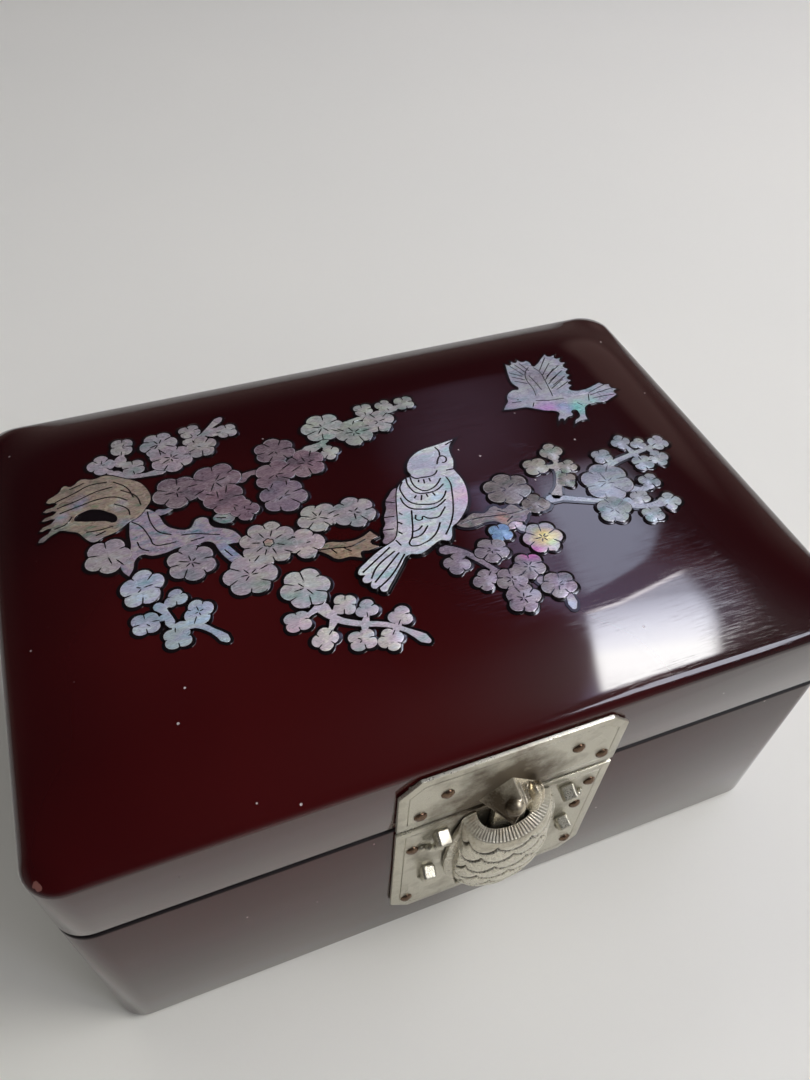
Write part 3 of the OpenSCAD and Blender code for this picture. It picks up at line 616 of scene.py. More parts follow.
def make_blank(lobes):
    """A flat plate of radius 1 and thickness 1 with round lobes and a soft upper edge."""
    bpy.ops.object.select_all(action="DESELECT")
    bpy.ops.mesh.primitive_circle_add(vertices=lobes * POINTS_PER_LOBE, radius=1, fill_type="NGON")
    blank = bpy.context.object
    edit(blank)
    half = POINTS_PER_LOBE // 2
    for step in range(half + 1):
        def at_step(middle, vert, step=step):
            turn = math.atan2(middle.y, middle.x) / (2 * math.pi) * lobes * POINTS_PER_LOBE
            place = round(turn) % POINTS_PER_LOBE
            return min(place, POINTS_PER_LOBE - place) == step

        pick("verts", at_step)
        reach = lobe_reach(step / half, lobes)
        bpy.ops.transform.resize(value=(reach, reach, 1), center_override=(0, 0, 0))
    bpy.ops.mesh.select_mode(type="FACE")
    bpy.ops.mesh.select_all(action="SELECT")
    bpy.ops.mesh.extrude_region_move(TRANSFORM_OT_translate={"value": (0, 0, 0.7)})
    bpy.ops.mesh.extrude_region_move(TRANSFORM_OT_translate={"value": (0, 0, 0.3)})
    bpy.ops.transform.resize(value=(0.955, 0.955, 1), center_override=(0, 0, 0))
    leave()
    return outward(settle(blank, f"blank_{lobes}"), 0.0001)


def make_needle():
    """A thin plate from the origin to x = 1, pointed at both ends."""
    bpy.ops.object.select_all(action="DESELECT")
    bpy.ops.mesh.primitive_circle_add(vertices=6, radius=0.5, location=(0.5, 0, 0), fill_type="NGON")
    needle = bpy.context.object
    needle.rotation_euler = (0, 0, math.radians(30))
    settle(needle, "needle")
    low = min(v.co.x for v in needle.data.vertices)
    high = max(v.co.x for v in needle.data.vertices)
    edit(needle)
    pick("verts", lambda middle, vert: True)
    bpy.ops.transform.resize(value=(1 / (high - low), 1, 1), center_override=(low, 0, 0))
    bpy.ops.transform.translate(value=(-low, 0, 0))
    bpy.ops.mesh.select_mode(type="FACE")
    bpy.ops.mesh.select_all(action="SELECT")
    bpy.ops.mesh.extrude_region_move(TRANSFORM_OT_translate={"value": (0, 0, 1)})
    leave()
    return outward(needle, 0.0001)


BLANKS = {lobes: make_blank(lobes) for lobes in (3, 4, 5, 6, 8)}
NEEDLE = make_needle()
print("blanks:", {lobes: len(blank.data.vertices) for lobes, blank in BLANKS.items()})

# %% [markdown]
# ## Tools to set pieces into the lid
# The picture is laid out flat, in millimetres from the middle of the lid, and is then
# laid over the dome: each point is raised by the dome's height at its place. Pieces that
# lie over others stand a hair higher, so that their black edges show as outlines.

# %% Tools for the picture
# Painted highlight: the pale colour that the shell's edges get, as if they caught the light.
RIM_HIGHLIGHT = tone(232, 226, 230)


def tinted(piece, colour):
    """Write one colour on a plate, in the attribute that the shell finish reads; the rim gets a paler
    colour, a painted highlight of its edge.
    """
    data = piece.data.color_attributes.new("tint", "FLOAT_COLOR", "POINT").data
    top = max(v.co.z for v in piece.data.vertices)
    rim = [c * 0.35 + r * 0.65 for c, r in zip(colour, RIM_HIGHLIGHT)]
    for entry, vertex in zip(data, piece.data.vertices):
        entry.color = colour if vertex.co.z > top - 0.001 * MM else rim
    return piece


def plate(blank, x, y, radius, turn, low, high, squash=1.0, spread=0.0):
    """A copy of a blank at its size and place, from height low to high, in millimetres."""
    wide, deep = radius + spread, radius * squash + spread
    matrix = (Matrix.Translation((x * MM, y * MM, low * MM)) @ Matrix.Rotation(math.radians(turn), 4, "Z")
              @ Matrix.Diagonal((wide * MM, deep * MM, (high - low) * MM, 1)))
    return twin(blank, matrix)


def cut_line(x0, y0, x1, y1, width, low, high):
    """One needle of black lacquer between two places."""
    long = math.hypot(x1 - x0, y1 - y0)
    matrix = (Matrix.Translation((x0 * MM, y0 * MM, low * MM))
              @ Matrix.Rotation(math.atan2(y1 - y0, x1 - x0), 4, "Z")
              @ Matrix.Diagonal((long * MM, width * MM, (high - low) * MM, 1)))
    return twin(NEEDLE, matrix)


def flat_curve(closed, outlines, resolution):
    """A curve object through the given places; a third number of 1 makes a sharp corner."""
    curve = bpy.data.curves.new("drawn", "CURVE")
    curve.dimensions = "2D" if closed else "3D"
    curve.resolution_u = resolution
    for outline in outlines:
        spline = curve.splines.new("BEZIER")
        spline.bezier_points.add(len(outline) - 1)
        spline.use_cyclic_u = closed
        for point, place in zip(spline.bezier_points, outline):
            point.co = (place[0] * MM, place[1] * MM, 0)
            sharp = len(place) > 2
            point.handle_left_type = point.handle_right_type = "VECTOR" if sharp else "AUTO"
    drawn = bpy.data.objects.new("drawn", curve)
    bpy.context.collection.objects.link(drawn)
    return drawn


def to_mesh(drawn):
    only(drawn)
    bpy.ops.object.convert(target="MESH")
    return bpy.context.object


def fine(piece, longest=3 * MM):
    """Halve every long edge, so that the plate can bend over the dome."""
    edit(piece)
    for _ in range(4):
        pick("edges", lambda middle, edge: edge.calc_length() > longest)
        bpy.ops.mesh.subdivide(number_cuts=1)
    leave()
    return piece


def drawn_plate(outlines, low, high, spread=0.0, edge=0.05):
    """A plate with this outline, from height low to high, with a soft edge."""
    drawn = flat_curve(True, outlines, 3)
    drawn.data.fill_mode = "BOTH"
    drawn.data.bevel_depth = edge * MM
    drawn.data.bevel_resolution = 0
    drawn.data.offset = (spread - edge) * MM
    drawn.data.extrude = ((high - low) / 2 - edge) * MM
    drawn.location.z = (low + high) / 2 * MM
    return fine(settle(to_mesh(drawn), "plate"))


def drawn_lines(chains, height, width):
    """Cut lines through the given places: thin rods, pressed flat."""
    drawn = flat_curve(False, chains, 4)
    drawn.data.bevel_depth = width / 2 * MM
    drawn.data.bevel_resolution = 1
    drawn.data.use_fill_caps = True
    lines = to_mesh(drawn)
    lines.scale.z = 0.5
    lines.location.z = height * MM
    return settle(lines, "lines")


def lay_on_lid(piece):
    """Raise every point by the dome's height under it."""
    for vertex in piece.data.vertices:
        vertex.co.z += dome(vertex.co.x, vertex.co.y)
    return piece


def set_into_lid(name, shells, blacks, finish, slot, *nodes):
    """Join the shell plates to one piece and their black lines to another."""
    shell = lay_on_lid(join(shells, name))
    hand_in(smooth(shell, 40), "lid", finish, slot, *nodes)
    black = lay_on_lid(join(blacks, name + "_lines"))
    hand_in(smooth(black, 40), "lid", LINE_BLACK, "lacquered_wood")


# %% [markdown]
# ## Blossom sprays
# A spray is a branch with open blossoms and small buds. Every blossom gets three plates:
# a wide black one at the bottom, which shows as the dark edge round the spray, a narrow
# black one that shows where it lies over its neighbour, and the shell itself. A bud hangs
# on a short stalk from the nearest point of the branch.

# %% Tools for sprays
SHELL_LOW, WIDE_EDGE, THIN_EDGE, LAYER = 0.0, 0.85, 0.24, 0.014
WIDE_TOP = SHELL_T - 0.12
random.seed(7)


def blossom(entry, top, tint, merged=False):
    """Shell and black plates of one blossom: (x, y, radius, turn, lobes, star)."""
    x, y, radius, turn, lobes = entry[:5]
    star = entry[5] if len(entry) > 5 else "star"
    squash = random.uniform(0.84, 1.0)
    blank = BLANKS[lobes]
    shells = [tinted(plate(blank, x, y, radius, turn, top - 0.1, top, squash), tint)]
    blacks = [plate(blank, x, y, radius, turn, SHELL_LOW, WIDE_TOP, squash, WIDE_EDGE)]
    if not merged:
        blacks.append(plate(blank, x, y, radius, turn, SHELL_LOW, top - 0.04, squash, THIN_EDGE))
    step = 360 / lobes

    def at(angle, reach):
        a, b = math.radians(angle), math.radians(turn)
        px, py = radius * reach * math.cos(a), radius * squash * reach * math.sin(a)
        return x + px * math.cos(b) - py * math.sin(b), y + px * math.sin(b) + py * math.cos(b)

    width = 0.34 if radius > 3.5 else 0.28
    for k in range(lobes):
        gap, gap_in = k * step + random.uniform(-9, 9), random.uniform(0.28, 0.66)
        if star == "bead":
            gap_in = 0.62
        blacks.append(cut_line(*at(gap, gap_in), *at(k * step, 0.96), width, top - 0.05, top + 0.03))
        if star == "none" or radius < 3.2 or (star != "bead" and random.random() < 0.3):
            continue
        middle = (k + 0.5) * step + random.uniform(-12, 12)
        inner, outer = (0.26, 0.60) if star == "bead" else (0.05, random.uniform(0.26, 0.56))
        blacks.append(cut_line(*at(middle, inner), *at(middle, outer), width, top - 0.05, top + 0.03))
    if star == "bead":
        blacks.append(plate(BLANKS[6], x, y, radius * 0.21, 0, top - 0.05, top + 0.02))
        bead = plate(BLANKS[6], x, y, radius * 0.16, 0, top, top + 0.07)
        shells.append(tinted(bead, tone(200, 160, 140)))
    return shells, blacks


def ribbon(chain, start, end):
    """The outline of a branch along a chain of places, from one width to another."""
    left, right = [], []
    last = len(chain) - 1
    for i, place in enumerate(chain):
        a, b = chain[max(i - 1, 0)], chain[min(i + 1, last)]
        long = math.hypot(b[0] - a[0], b[1] - a[1])
        half = (start + (end - start) * i / last) / 2
        side = (-(b[1] - a[1]) / long * half, (b[0] - a[0]) / long * half)
        left.append((place[0] + side[0], place[1] + side[1]))
        right.append((place[0] - side[0], place[1] - side[1]))
    return left + right[::-1]


def branch(chain, tint, start, end, top):
    """Shell and black plates of one branch."""
    outline = ribbon(chain, start, end)
    shells = [tinted(drawn_plate([outline], top - 0.26, top, edge=0.12), tint)]
    blacks = [drawn_plate([outline], SHELL_LOW, WIDE_TOP, 0.6),
              drawn_plate([outline], SHELL_LOW, top - 0.05, THIN_EDGE)]
    return shells, blacks


def stalk(entry, chains):
    """A short branch from the nearest place of the chains to a bud."""
    x, y = entry[:2]
    spots = []
    for chain in chains:
        for a, b in zip(chain, chain[1:]):
            spots += [(a[0] + (b[0] - a[0]) * t / 8, a[1] + (b[1] - a[1]) * t / 8) for t in range(9)]
    near = min(spots, key=lambda s: math.hypot(s[0] - x, s[1] - y))
    return [near, ((near[0] + x) / 2 + 0.2, (near[1] + y) / 2), (x, y)]


def both(*sets):
    """Join several (shells, blacks) pairs."""
    return [s for shells, _ in sets for s in shells], [b for _, blacks in sets for b in blacks]


def make_spray(name, groups, finish, slot, node):
    """groups is a list of (tint, blossoms, branches)."""
    sets, layer = [], 0
    for tint, entries, chains in groups:
        level = SHELL_T - 0.06
        for chain in chains:
            sets.append(branch(chain, tint, 1.9, 1.1, level))
            level += 0.003
        for entry in entries:
            light = random.uniform(0.8, 1.12)
            shade = tuple(c * light * random.uniform(0.95, 1.05) for c in tint[:3]) + (1,)
            if entry[2] < 3.5 and chains:
                sets.append(branch(stalk(entry, chains), tint, 1.3, 1.1, level))
                sets.append(blossom(entry, level + 0.0015, shade, merged=True))
                level += 0.003
            else:
                layer += 1
                sets.append(blossom(entry, SHELL_T + layer * LAYER, shade))
    shells, blacks = both(*sets)
    set_into_lid(name, shells, blacks, finish, slot, node)
    print(name, "blossoms and buds:", layer)


# %% Left sprays
SILVER_MAUVE, MAUVE = tone(170, 160, 164), tone(116, 74, 90)
PINK_SILVER, WHITE_BLUE = tone(172, 158, 166), tone(186, 204, 222)
make_spray("sprays_left", [
    (SILVER_MAUVE,
     [(-55.5, 30, 2.9, 0, 4), (-62.5, 33, 3.3, 40, 4), (-57, 38, 3.3, 80, 4),
      (-48.5, 36, 4.6, 30, 6), (-46.5, 30.3, 5.2, 0, 6), (-40.5, 38.6, 2.9, 10, 4),
      (-38.8, 32, 4, 50, 5), (-31.8, 36, 2.7, 0, 4)],
     [[(-60.6, 29.4), (-57, 27.4), (-53, 26.6), (-48, 27)], [(-58.6, 31.4), (-57.4, 35)],
      [(-42.6, 34.6), (-38.6, 35.6), (-35.4, 38.6), (-32, 41.6)], [(-37, 36.6), (-32.6, 36.4)]]),
    (PINK_SILVER, [(-65, 4, 5.1, 20, 5), (-48.5, -3.5, 5.3, 0, 6)], []),
    (MAUVE, [(-47.5, 18.5, 5.6, 10, 5), (-38.5, 19, 6.6, 30, 6), (-37.5, 12.8, 5.0, 0, 5),
             (-34, 8, 3.4, 40, 4)], []),
    (WHITE_BLUE,
     [(-59.5, -7.3, 5.2, 50, 5), (-60.4, -16.5, 3.2, 0, 4), (-53.5, -12, 2.7, 30, 3),
      (-49.7, -17, 3.4, 60, 4), (-55, -22, 3.1, 0, 4)],
     [[(-57.6, -12.4), (-56.2, -15), (-55.6, -19)],
      [(-55.4, -19.4), (-51, -20), (-48, -22.6), (-45.6, -26)]])
], PEARL, "shell_mauve", "inlay_sprays_left")

# %% Middle sprays
PALE, GREEN_SILVER, WHITE = tone(190, 178, 180), tone(178, 182, 172), tone(232, 226, 232)
make_spray("sprays_middle", [
    (MAUVE, [(-22.5, 25, 5.1, 0, 6), (-16.5, 18.5, 4.9, 60, 5), (-24.5, 17, 5.4, 30, 5)],
     [[(-33, 17.6), (-30, 19.4), (-27, 18.6)]]),
    (tone(138, 106, 128), [(-24.5, 9.6, 5.6, 10, 6)], []),
    (GREEN_SILVER,
     [(-9, 29.6, 5.6, 20, 6), (-2, 25.3, 4.8, 0, 5), (5.2, 27.3, 4.4, 40, 5), (3, 33, 2.7, 0, 4),
      (8.6, 32.8, 2.4, 20, 4), (14, 32.4, 2.8, 0, 4), (-10, 20.4, 2.7, 50, 4)],
     [[(-16, 22.6), (-11, 24), (-6, 28), (1, 30.2), (8, 30.4), (12, 31.6)]]),
    (PALE, [(-37.5, -11, 5.9, 20, 6), (-24, -6.2, 4.4, 40, 4), (-19, 0.4, 5, 10, 5),
            (-10.8, -0.6, 5.2, 0, 6), (-31.5, -3.5, 6.4, 0, 8, "bead")], []),
    (WHITE,
     [(-27.5, -18.3, 5.4, 30, 6), (-31.4, -26, 3.1, 0, 4), (-27.4, -32, 3, 40, 4),
      (-21, -25, 2.9, 70, 4), (-17, -27.5, 2.7, 20, 3), (-20.4, -34.6, 3.2, 0, 4),
      (-15, -36.4, 2.8, 50, 4), (-11, -31.5, 2.8, 0, 3)],
     [[(-26, -23), (-24, -27.6), (-20, -30.4), (-14.6, -32.6), (-11, -35.4), (-7.6, -39.4)]])
], PEARL, "shell_pale", "inlay_sprays_middle")

# %% Right sprays
GREY_BROWN, WARM_GREY = tone(112, 98, 92), tone(166, 162, 148)
SILVER_BLUE, DUSK = tone(168, 180, 188), tone(136, 118, 134)
make_spray("sprays_right", [
    (GREY_BROWN, [(26, -5, 5.9, 0, 6), (30, -11.4, 3.1, 30, 4, "none")], []),
    (tone(214, 204, 212), [(27, -21.6, 4.7, 20, 6), (22.6, -15.2, 2.3, 0, 4)],
     [[(20.4, -13.4), (22.6, -15.4), (24.6, -18.6)]]),
    (WARM_GREY,
     [(36, -0.2, 3.4, 0, 4, "none"), (42, 3.3, 3.1, 40, 4), (43.4, -2.6, 2.6, 10, 4),
      (41, -6.7, 2.6, 60, 4)],
     [[(35.6, -11.4), (38, -8.4), (40, -4.4), (41.4, -0.4)]]),
    (SILVER_BLUE,
     [(53.4, -2.2, 2.8, 0, 4), (60.5, 1, 2.7, 40, 4), (64.6, -1, 2.3, 0, 3), (70, -1.8, 2.9, 20, 4),
      (62, -7.4, 2.9, 0, 4), (66.8, -7, 2.9, 50, 4), (50, -10.6, 6.3, 0, 6), (60, -13.6, 2.8, 10, 4),
      (55, -17.6, 2.6, 0, 4), (47, -19.2, 4.5, 30, 5), (61, -21, 2.9, 30, 4), (55, -23.4, 2.9, 0, 4)],
     [[(33.6, -11), (37, -11.8), (41, -13.6), (46, -15.6), (50, -16)],
      [(51, -7), (54.4, -5.2), (60, -4), (66, -3), (69, -2.4)],
      [(50, -17), (55, -20.6), (60, -20.6)], [(53, -12.6), (56.6, -15.4), (60, -14.4)]]),
    (tone(104, 160, 216), [(18.5, -17.3, 2.9, 0, 4)], []),
    (DUSK,
     [(5.6, -22.4, 3.1, 20, 4), (14.4, -21.4, 4.1, 0, 5), (9.6, -28.6, 3.1, 40, 4),
      (20.2, -28.2, 3.8, 0, 5), (15, -30.4, 3.6, 10, 5), (15.2, -35.8, 4.1, 30, 5),
      (24, -35, 4.1, 0, 5)],
     [[(3.6, -17.6), (7.4, -19), (10.4, -22.6), (13, -27), (16, -31)],
      [(20.6, -32), (24.6, -37), (24.4, -41.6)]])
], PEARL, "shell_silver", "inlay_sprays_right")


# %% [markdown]
# ## The root, the trunk and the leaves
# These pieces are drawn as outlines and cut from thicker shell. The root clump is
# abalone with a ragged left edge and a hole; its fibres are long cut lines. Next to it
# stands the trunk, with a few lines that follow the grain.

# %% Root and trunk
def drawn_set(outline, lines, tint, top, holes=(), wide=0.75, width=0.34):
    """Shell and black plates of one drawn piece with its cut lines."""
    shells = [tinted(drawn_plate([outline, *holes], top - 0.3, top, edge=0.13), tint)]
    blacks = [drawn_plate([outline], SHELL_LOW, WIDE_TOP, wide),
              drawn_plate([outline, *holes], SHELL_LOW, top - 0.05, THIN_EDGE)]
    if lines:
        blacks.append(drawn_lines(lines, top, width))
    return shells, blacks


root_outline = [
    (-73, 27.5), (-71.5, 29.2), (-70, 28.3), (-67.5, 29.8), (-65, 28.8), (-62, 29.2), (-58, 26.8),
    (-55, 24.5), (-53.6, 21.5), (-53.4, 18), (-55, 15.6), (-57, 13.4), (-59, 12.6), (-60.6, 11.4),
    (-62.4, 10.4), (-65, 9.8), (-67.2, 9), (-68.8, 10.6), (-70.2, 13.2), (-72, 14.4), (-74, 15.6),
    (-79, 14.6), (-75.6, 17.2), (-78.4, 17.8), (-74.6, 19.6), (-77.6, 20.6), (-74, 21.8),
    (-77, 23.2), (-73.6, 24.2), (-76, 25.8)]
root_hole = [(-70.5, 17.5), (-68.5, 19), (-66, 19), (-63, 17), (-61.5, 15), (-62, 13.6),
             (-64, 14.6), (-66.5, 15.4), (-69, 16.4)]
root_lines = [
    [(-74, 24.8), (-70, 25.6), (-66, 27), (-62, 26.8)],
    [(-73.8, 22.6), (-69, 23.2), (-65, 24.4), (-61, 24.8)],
    [(-73.4, 20.8), (-69, 21.2), (-65, 21.8), (-61, 21.4), (-58.4, 19.4)],
    [(-70.4, 27.4), (-67, 28.2)], [(-60.6, 26.4), (-58, 23.6), (-57, 20)],
    [(-59.4, 23.2), (-56.4, 20.2), (-55.8, 17)], [(-61.4, 19.2), (-58.8, 16.6), (-58.6, 14.6)],
    [(-75, 16.6), (-72.2, 17), (-70.8, 18.6)], [(-68.4, 12.6), (-65.6, 12.2), (-62.6, 12.4)],
    [(-66.6, 10.8), (-64.4, 11.4)]]
trunk_outline = [
    (-58.5, 14), (-56, 15.6), (-53.8, 14.6), (-52.4, 12), (-51.8, 9.4), (-50, 7.4), (-47, 6.4),
    (-46, 7.4), (-45, 8.8), (-42.6, 8.4), (-42.4, 6.4), (-41.6, 5), (-40, 4.2), (-38, 2.8),
    (-37, 1), (-36.4, -1.4, 1), (-38.6, -1), (-40, -1, 1), (-38.4, -4.2), (-37.2, -6.6, 1),
    (-39.6, -6.8), (-41.4, -4.4), (-42.4, -1.4), (-43, 0.6), (-44.6, 1.4), (-47, 0.8), (-50, 1.6),
    (-53, 1), (-56, 1), (-58, 2), (-59.6, 1), (-60.4, -1.4), (-61.6, -3.2, 1), (-62.8, -1),
    (-62.6, 1.4), (-61, 3), (-60, 5), (-59.8, 8), (-59.4, 11)]
trunk_lines = [[(-58.6, 12.4), (-57, 10.6), (-55.6, 6.4), (-55, 4), (-52.6, 3.4), (-50.4, 3.4)],
               [(-54.8, 14.4), (-54.8, 12), (-54.2, 9), (-53.4, 7.4), (-51, 5.8)],
               [(-58.4, 6), (-58, 4), (-56.4, 2.6)], [(-49, 5), (-46, 4.4), (-43.4, 3.4), (-41, 2.4)],
               [(-47.4, 2.6), (-44.4, 2.8)], [(-41, -2.2), (-39.8, -4.6)]]
twig = [(-53, 13.6), (-50.6, 13.4), (-48.4, 14.8), (-46.6, 16.4)]
trunk_set = both(drawn_set(root_outline, root_lines, tone(150, 130, 98), SHELL_T + 0.05,
                           [root_hole], 0.3),
                 drawn_set(trunk_outline, trunk_lines, tone(164, 150, 166), SHELL_T),
                 branch(twig, tone(140, 132, 150), 1.6, 1.0, SHELL_T - 0.02))
set_into_lid("trunk", *trunk_set, ABALONE, "shell_silver", "inlay_trunk")

# %% [markdown]
# The leaves under the perched bird are amber shell with a toothed edge. A grey and amber
# branch goes on behind the bird to the right.

# %% Leaves
AMBER, TAUPE = tone(156, 128, 92), tone(120, 108, 102)
leaf_outline = [
    (-22.6, -8.6, 1), (-19, -7.4), (-16, -8.4), (-12.6, -8.6), (-9.2, -7.2, 1), (-8, -9.4, 1),
    (-10.2, -10.4), (-8.6, -12.2, 1), (-11.4, -12.6), (-13, -12.4), (-13.4, -14.2, 1), (-15.8, -13),
    (-18.6, -12.8), (-20.4, -10.6)]
leaf_lines = [[(-21.4, -9), (-18, -9.6), (-14.6, -10.2), (-11, -9.2)], [(-16.4, -10), (-15, -11.6)],
              [(-19, -9.6), (-18.2, -11.2)]]
branch_outline = [
    (9.4, -10.6, 1), (12, -10.8), (15, -9.6), (17.6, -10.4), (20.6, -9), (22, -10.6), (24.6, -9.8),
    (26.4, -11.4), (29, -10.8), (31.4, -12.2), (33.2, -11.4), (33.4, -13.2), (30, -14.2),
    (27.6, -13.6), (25.4, -15.8), (22.6, -14.8), (20.4, -16.2, 1), (19.4, -14), (16.4, -13.2),
    (13, -13.6), (10.6, -12.6)]
branch_lines = [[(11, -11.8), (15, -11.4), (19.4, -12), (24, -12.6), (29, -12.4)],
                [(20.8, -10.6), (22.6, -12)], [(25.6, -11), (26.6, -12.4)],
                [(21.4, -14.6), (23.4, -13.4)]]
green_leaf = [(-41.4, 8), (-38.6, 9), (-36.6, 8.6), (-36.8, 6), (-38.6, 5.2), (-41, 6.6)]
leaves_set = both(drawn_set(leaf_outline, leaf_lines, AMBER, SHELL_T),
                  drawn_set(branch_outline, branch_lines, TAUPE, SHELL_T),
                  drawn_set(green_leaf, [[(-40.6, 7.6), (-38.6, 7)]], tone(140, 150, 148),
                            SHELL_T + 0.03))
set_into_lid("leaves", *leaves_set, ABALONE, "shell_amber", "inlay_leaves")

# %% [markdown]
# ## The birds
# The perched bird is one pale plate with a darker far wing beside it. Every feather
# group is a row of cut lines. The second bird flies with its wings raised.

# %% Perched bird
perched = [
    (20.5, 15, 1), (18, 14.7), (16, 14.4), (14, 14.2), (11.6, 13.9), (9, 12.8), (6.8, 10.8),
    (5.6, 8), (5.7, 6), (4.4, 5.8), (3, 5), (1.2, 3.2), (0, 0.6), (-0.9, -2), (-1.9, -5.2),
    (-3.3, -9), (-4.8, -11.5), (-6, -12.2), (-9, -13.4), (-13.5, -16), (-15.5, -17.5),
    (-15.8, -18.7), (-14.6, -19.2, 1), (-15.6, -20.3), (-15.1, -21.4), (-13.8, -21.3, 1),
    (-14.4, -22.5), (-13.8, -23.4), (-12.5, -22.9, 1), (-12.8, -24.2), (-11.9, -24.9),
    (-10.4, -23.6), (-9, -22.2), (-6, -19), (-3.6, -16.8), (-1.5, -17.4), (0.5, -17), (3, -15.8),
    (4.8, -15.2), (6.4, -15.9), (7.4, -15.2), (8.2, -13.6), (8.8, -12.3), (10.4, -11.4),
    (12.6, -9.6), (14.8, -7), (16.2, -4), (16.9, -1), (17, 1.5), (16.7, 3.6), (16.5, 5.2),
    (17, 6.4), (17.6, 8), (17.8, 10), (18.2, 12), (19, 13.4)]
far_wing = [
    (1.2, 3.4), (0, 3.2), (-1.6, 1.6), (-3, 0), (-3.6, -2.2), (-5, -4.6), (-5.4, -6.6),
    (-6.6, -8.2), (-6.8, -10), (-7.8, -11.8), (-6, -12.6), (-4.4, -12.2), (-2.8, -9), (-1.2, -5),
    (0.2, -1)]
perched_lines = [
    [(5.7, 6), (6.5, 4.9), (8, 4.7), (10, 4.5), (11.5, 4.9), (12.4, 5.8)], [(7, 4.2), (6.7, 3.4)],
    [(8.2, 4), (7.9, 2.6)], [(9.6, 4), (9.5, 2.8)],
    [(5.4, 5.6), (5.2, 3.5), (5.8, 1.6), (7, 0.4), (8.8, 0.5), (10.5, 1.4), (12.2, 3.1)],
    [(4.4, 5.9), (4, 4), (4.2, 2), (5, 0.3), (7.5, -0.5), (10, -0.2), (12.1, 1.1)],
    [(4.6, -0.4), (3.8, -1.2)], [(5.8, -0.8), (5.1, -2.3)],
    [(7, -0.8), (7, -1.8)], [(8.6, -0.8), (8.8, -1.9)],
    [(3, 4.8), (1.8, 3), (1.7, 1), (2, -1), (3, -2.6), (5.5, -3.8), (8, -4.2), (10.4, -3), (11.8, -1.2)],
    [(0.8, 0), (0.9, -2), (2, -4), (4, -4.9), (7, -5.5), (9, -4.8), (10.6, -3.8)],
    [(2.2, -6.2), (1.8, -7.6), (3, -8), (3.6, -7.2), (4.4, -8), (5.6, -8.4), (7, -8.4),
     (8.4, -7.2), (9.6, -6)],
    [(1.8, -4.6), (1, -7), (0, -10), (-1, -12.2), (-2.3, -14.3), (-1, -15), (1, -14.8), (3, -14),
     (5, -12.4), (6.6, -10.2)],
    [(-0.6, -10.8), (1, -10.7), (2.4, -9.8)], [(-1.2, -12.6), (1, -12.4), (3.6, -10.2)],
    [(-1.2, -4.4), (-0.6, -5.2)], [(-2.4, -7), (-1.7, -7.9)], [(-3.4, -9.8), (-2.7, -10.7)],
    [(-4.8, -12), (-4.2, -13.9)],
    [(13.6, 3.2), (13.8, 1), (13, -2), (11.6, -6), (10, -9.4), (8, -12.2), (6.4, -14)],
    [(13.2, 7.8), (14, 9.2), (15, 10.2), (16, 9.8), (16, 8.6), (15.2, 7.9), (14.6, 8.1)],
    [(15, 13.6), (15.4, 12), (15, 10.4)], [(17.8, 13.6), (19.8, 14.4)], [(14.5, 5.2), (16.4, 5.1)],
    [(-6.8, -13.5), (-14.8, -18.4)], [(-6.2, -14.9), (-11.5, -18), (-13.6, -20.6)],
    [(-5.4, -15.6), (-13.2, -21.8)], [(-4.4, -16.4), (-9.5, -21.4), (-12.8, -23.4)]]
wing_lines = [[(-3, 0), (-1, -1)], [(-5, -4.6), (-2.6, -5)], [(-6.6, -8.2), (-4, -8.6)]]
perched_set = both(drawn_set(far_wing, wing_lines, tone(146, 120, 140), SHELL_T + 0.25),
                   drawn_set(perched, perched_lines, tone(238, 247, 255), SHELL_T + 0.32, width=0.42))
set_into_lid("perched_bird", *perched_set, PEARL, "shell_pale", "inlay_perched_bird")

# %% Flying bird
flying = [
    (37.7, 21.6, 1), (39, 23.2), (40.2, 24.4), (40.6, 25.8), (41.8, 27.4), (43.6, 28.3),
    (45.2, 28.2), (44.6, 31), (45, 34), (45.8, 37), (46.5, 39.4, 1), (47.4, 38.4), (48.6, 40.2, 1),
    (49.4, 39), (50.6, 40.2, 1), (51.4, 38.8), (52.8, 39, 1), (53.4, 37.6), (53.4, 36),
    (54.6, 36.4), (57, 38.4), (59.2, 40.2, 1), (59.6, 38.8), (61.6, 39, 1), (61, 37.4),
    (62.6, 37.2, 1), (61.6, 35.6), (62.8, 34.8, 1), (61.4, 33.4), (62.2, 32, 1), (60.8, 30.6),
    (61.4, 29.4, 1), (60, 28.4), (60.6, 27.2, 1), (59.2, 26.4), (59.8, 25.2, 1), (58.4, 24.4),
    (58.6, 23.4), (61, 22.6), (64, 23), (67.5, 24.2, 1), (68.4, 23.2), (70, 23, 1), (69.8, 21.6),
    (71.2, 20.6, 1), (69.6, 19.8), (69.8, 18.4, 1), (67.6, 17.4), (65, 16.4), (62, 16.8),
    (59, 16.2), (58, 14.6), (57.2, 12.8), (57, 11.4, 1), (55.6, 11.6), (54.4, 11.4),
    (52.8, 10.6, 1), (53.8, 12.2), (55.4, 13), (56, 14.6), (55.8, 15.8), (54.4, 15.6), (54.2, 14.2),
    (52.4, 13.8), (50.8, 12.6, 1), (50.8, 13.8), (49.2, 12.8, 1), (50, 14.6), (51, 16), (50.4, 17),
    (48, 18), (45.6, 19.6), (43.6, 20.8), (42, 21), (39.6, 21.2)]
feathers = [[(49.2 + 1.1 * k, 33.2 + 0.6 * k), (47.3 + 1.5 * k, 38 + 0.2 * k)] for k in range(3)]
feathers += [[(48.6, 29.6 + 1.6 * k), (45.6 + 0.1 * k, 31.6 + 1.9 * k)] for k in range(3)]
feathers += [[(54.2 - 0.1 * k, 33.6 - 2 * k), (58.2 + 0.1 * k, 38.4 - 2.5 * k)] for k in range(5)]
feathers += [[(54.9, 30.8 - 2 * k), (60.4 - 0.3 * k, 34.2 - 2.4 * k)] for k in range(4)]
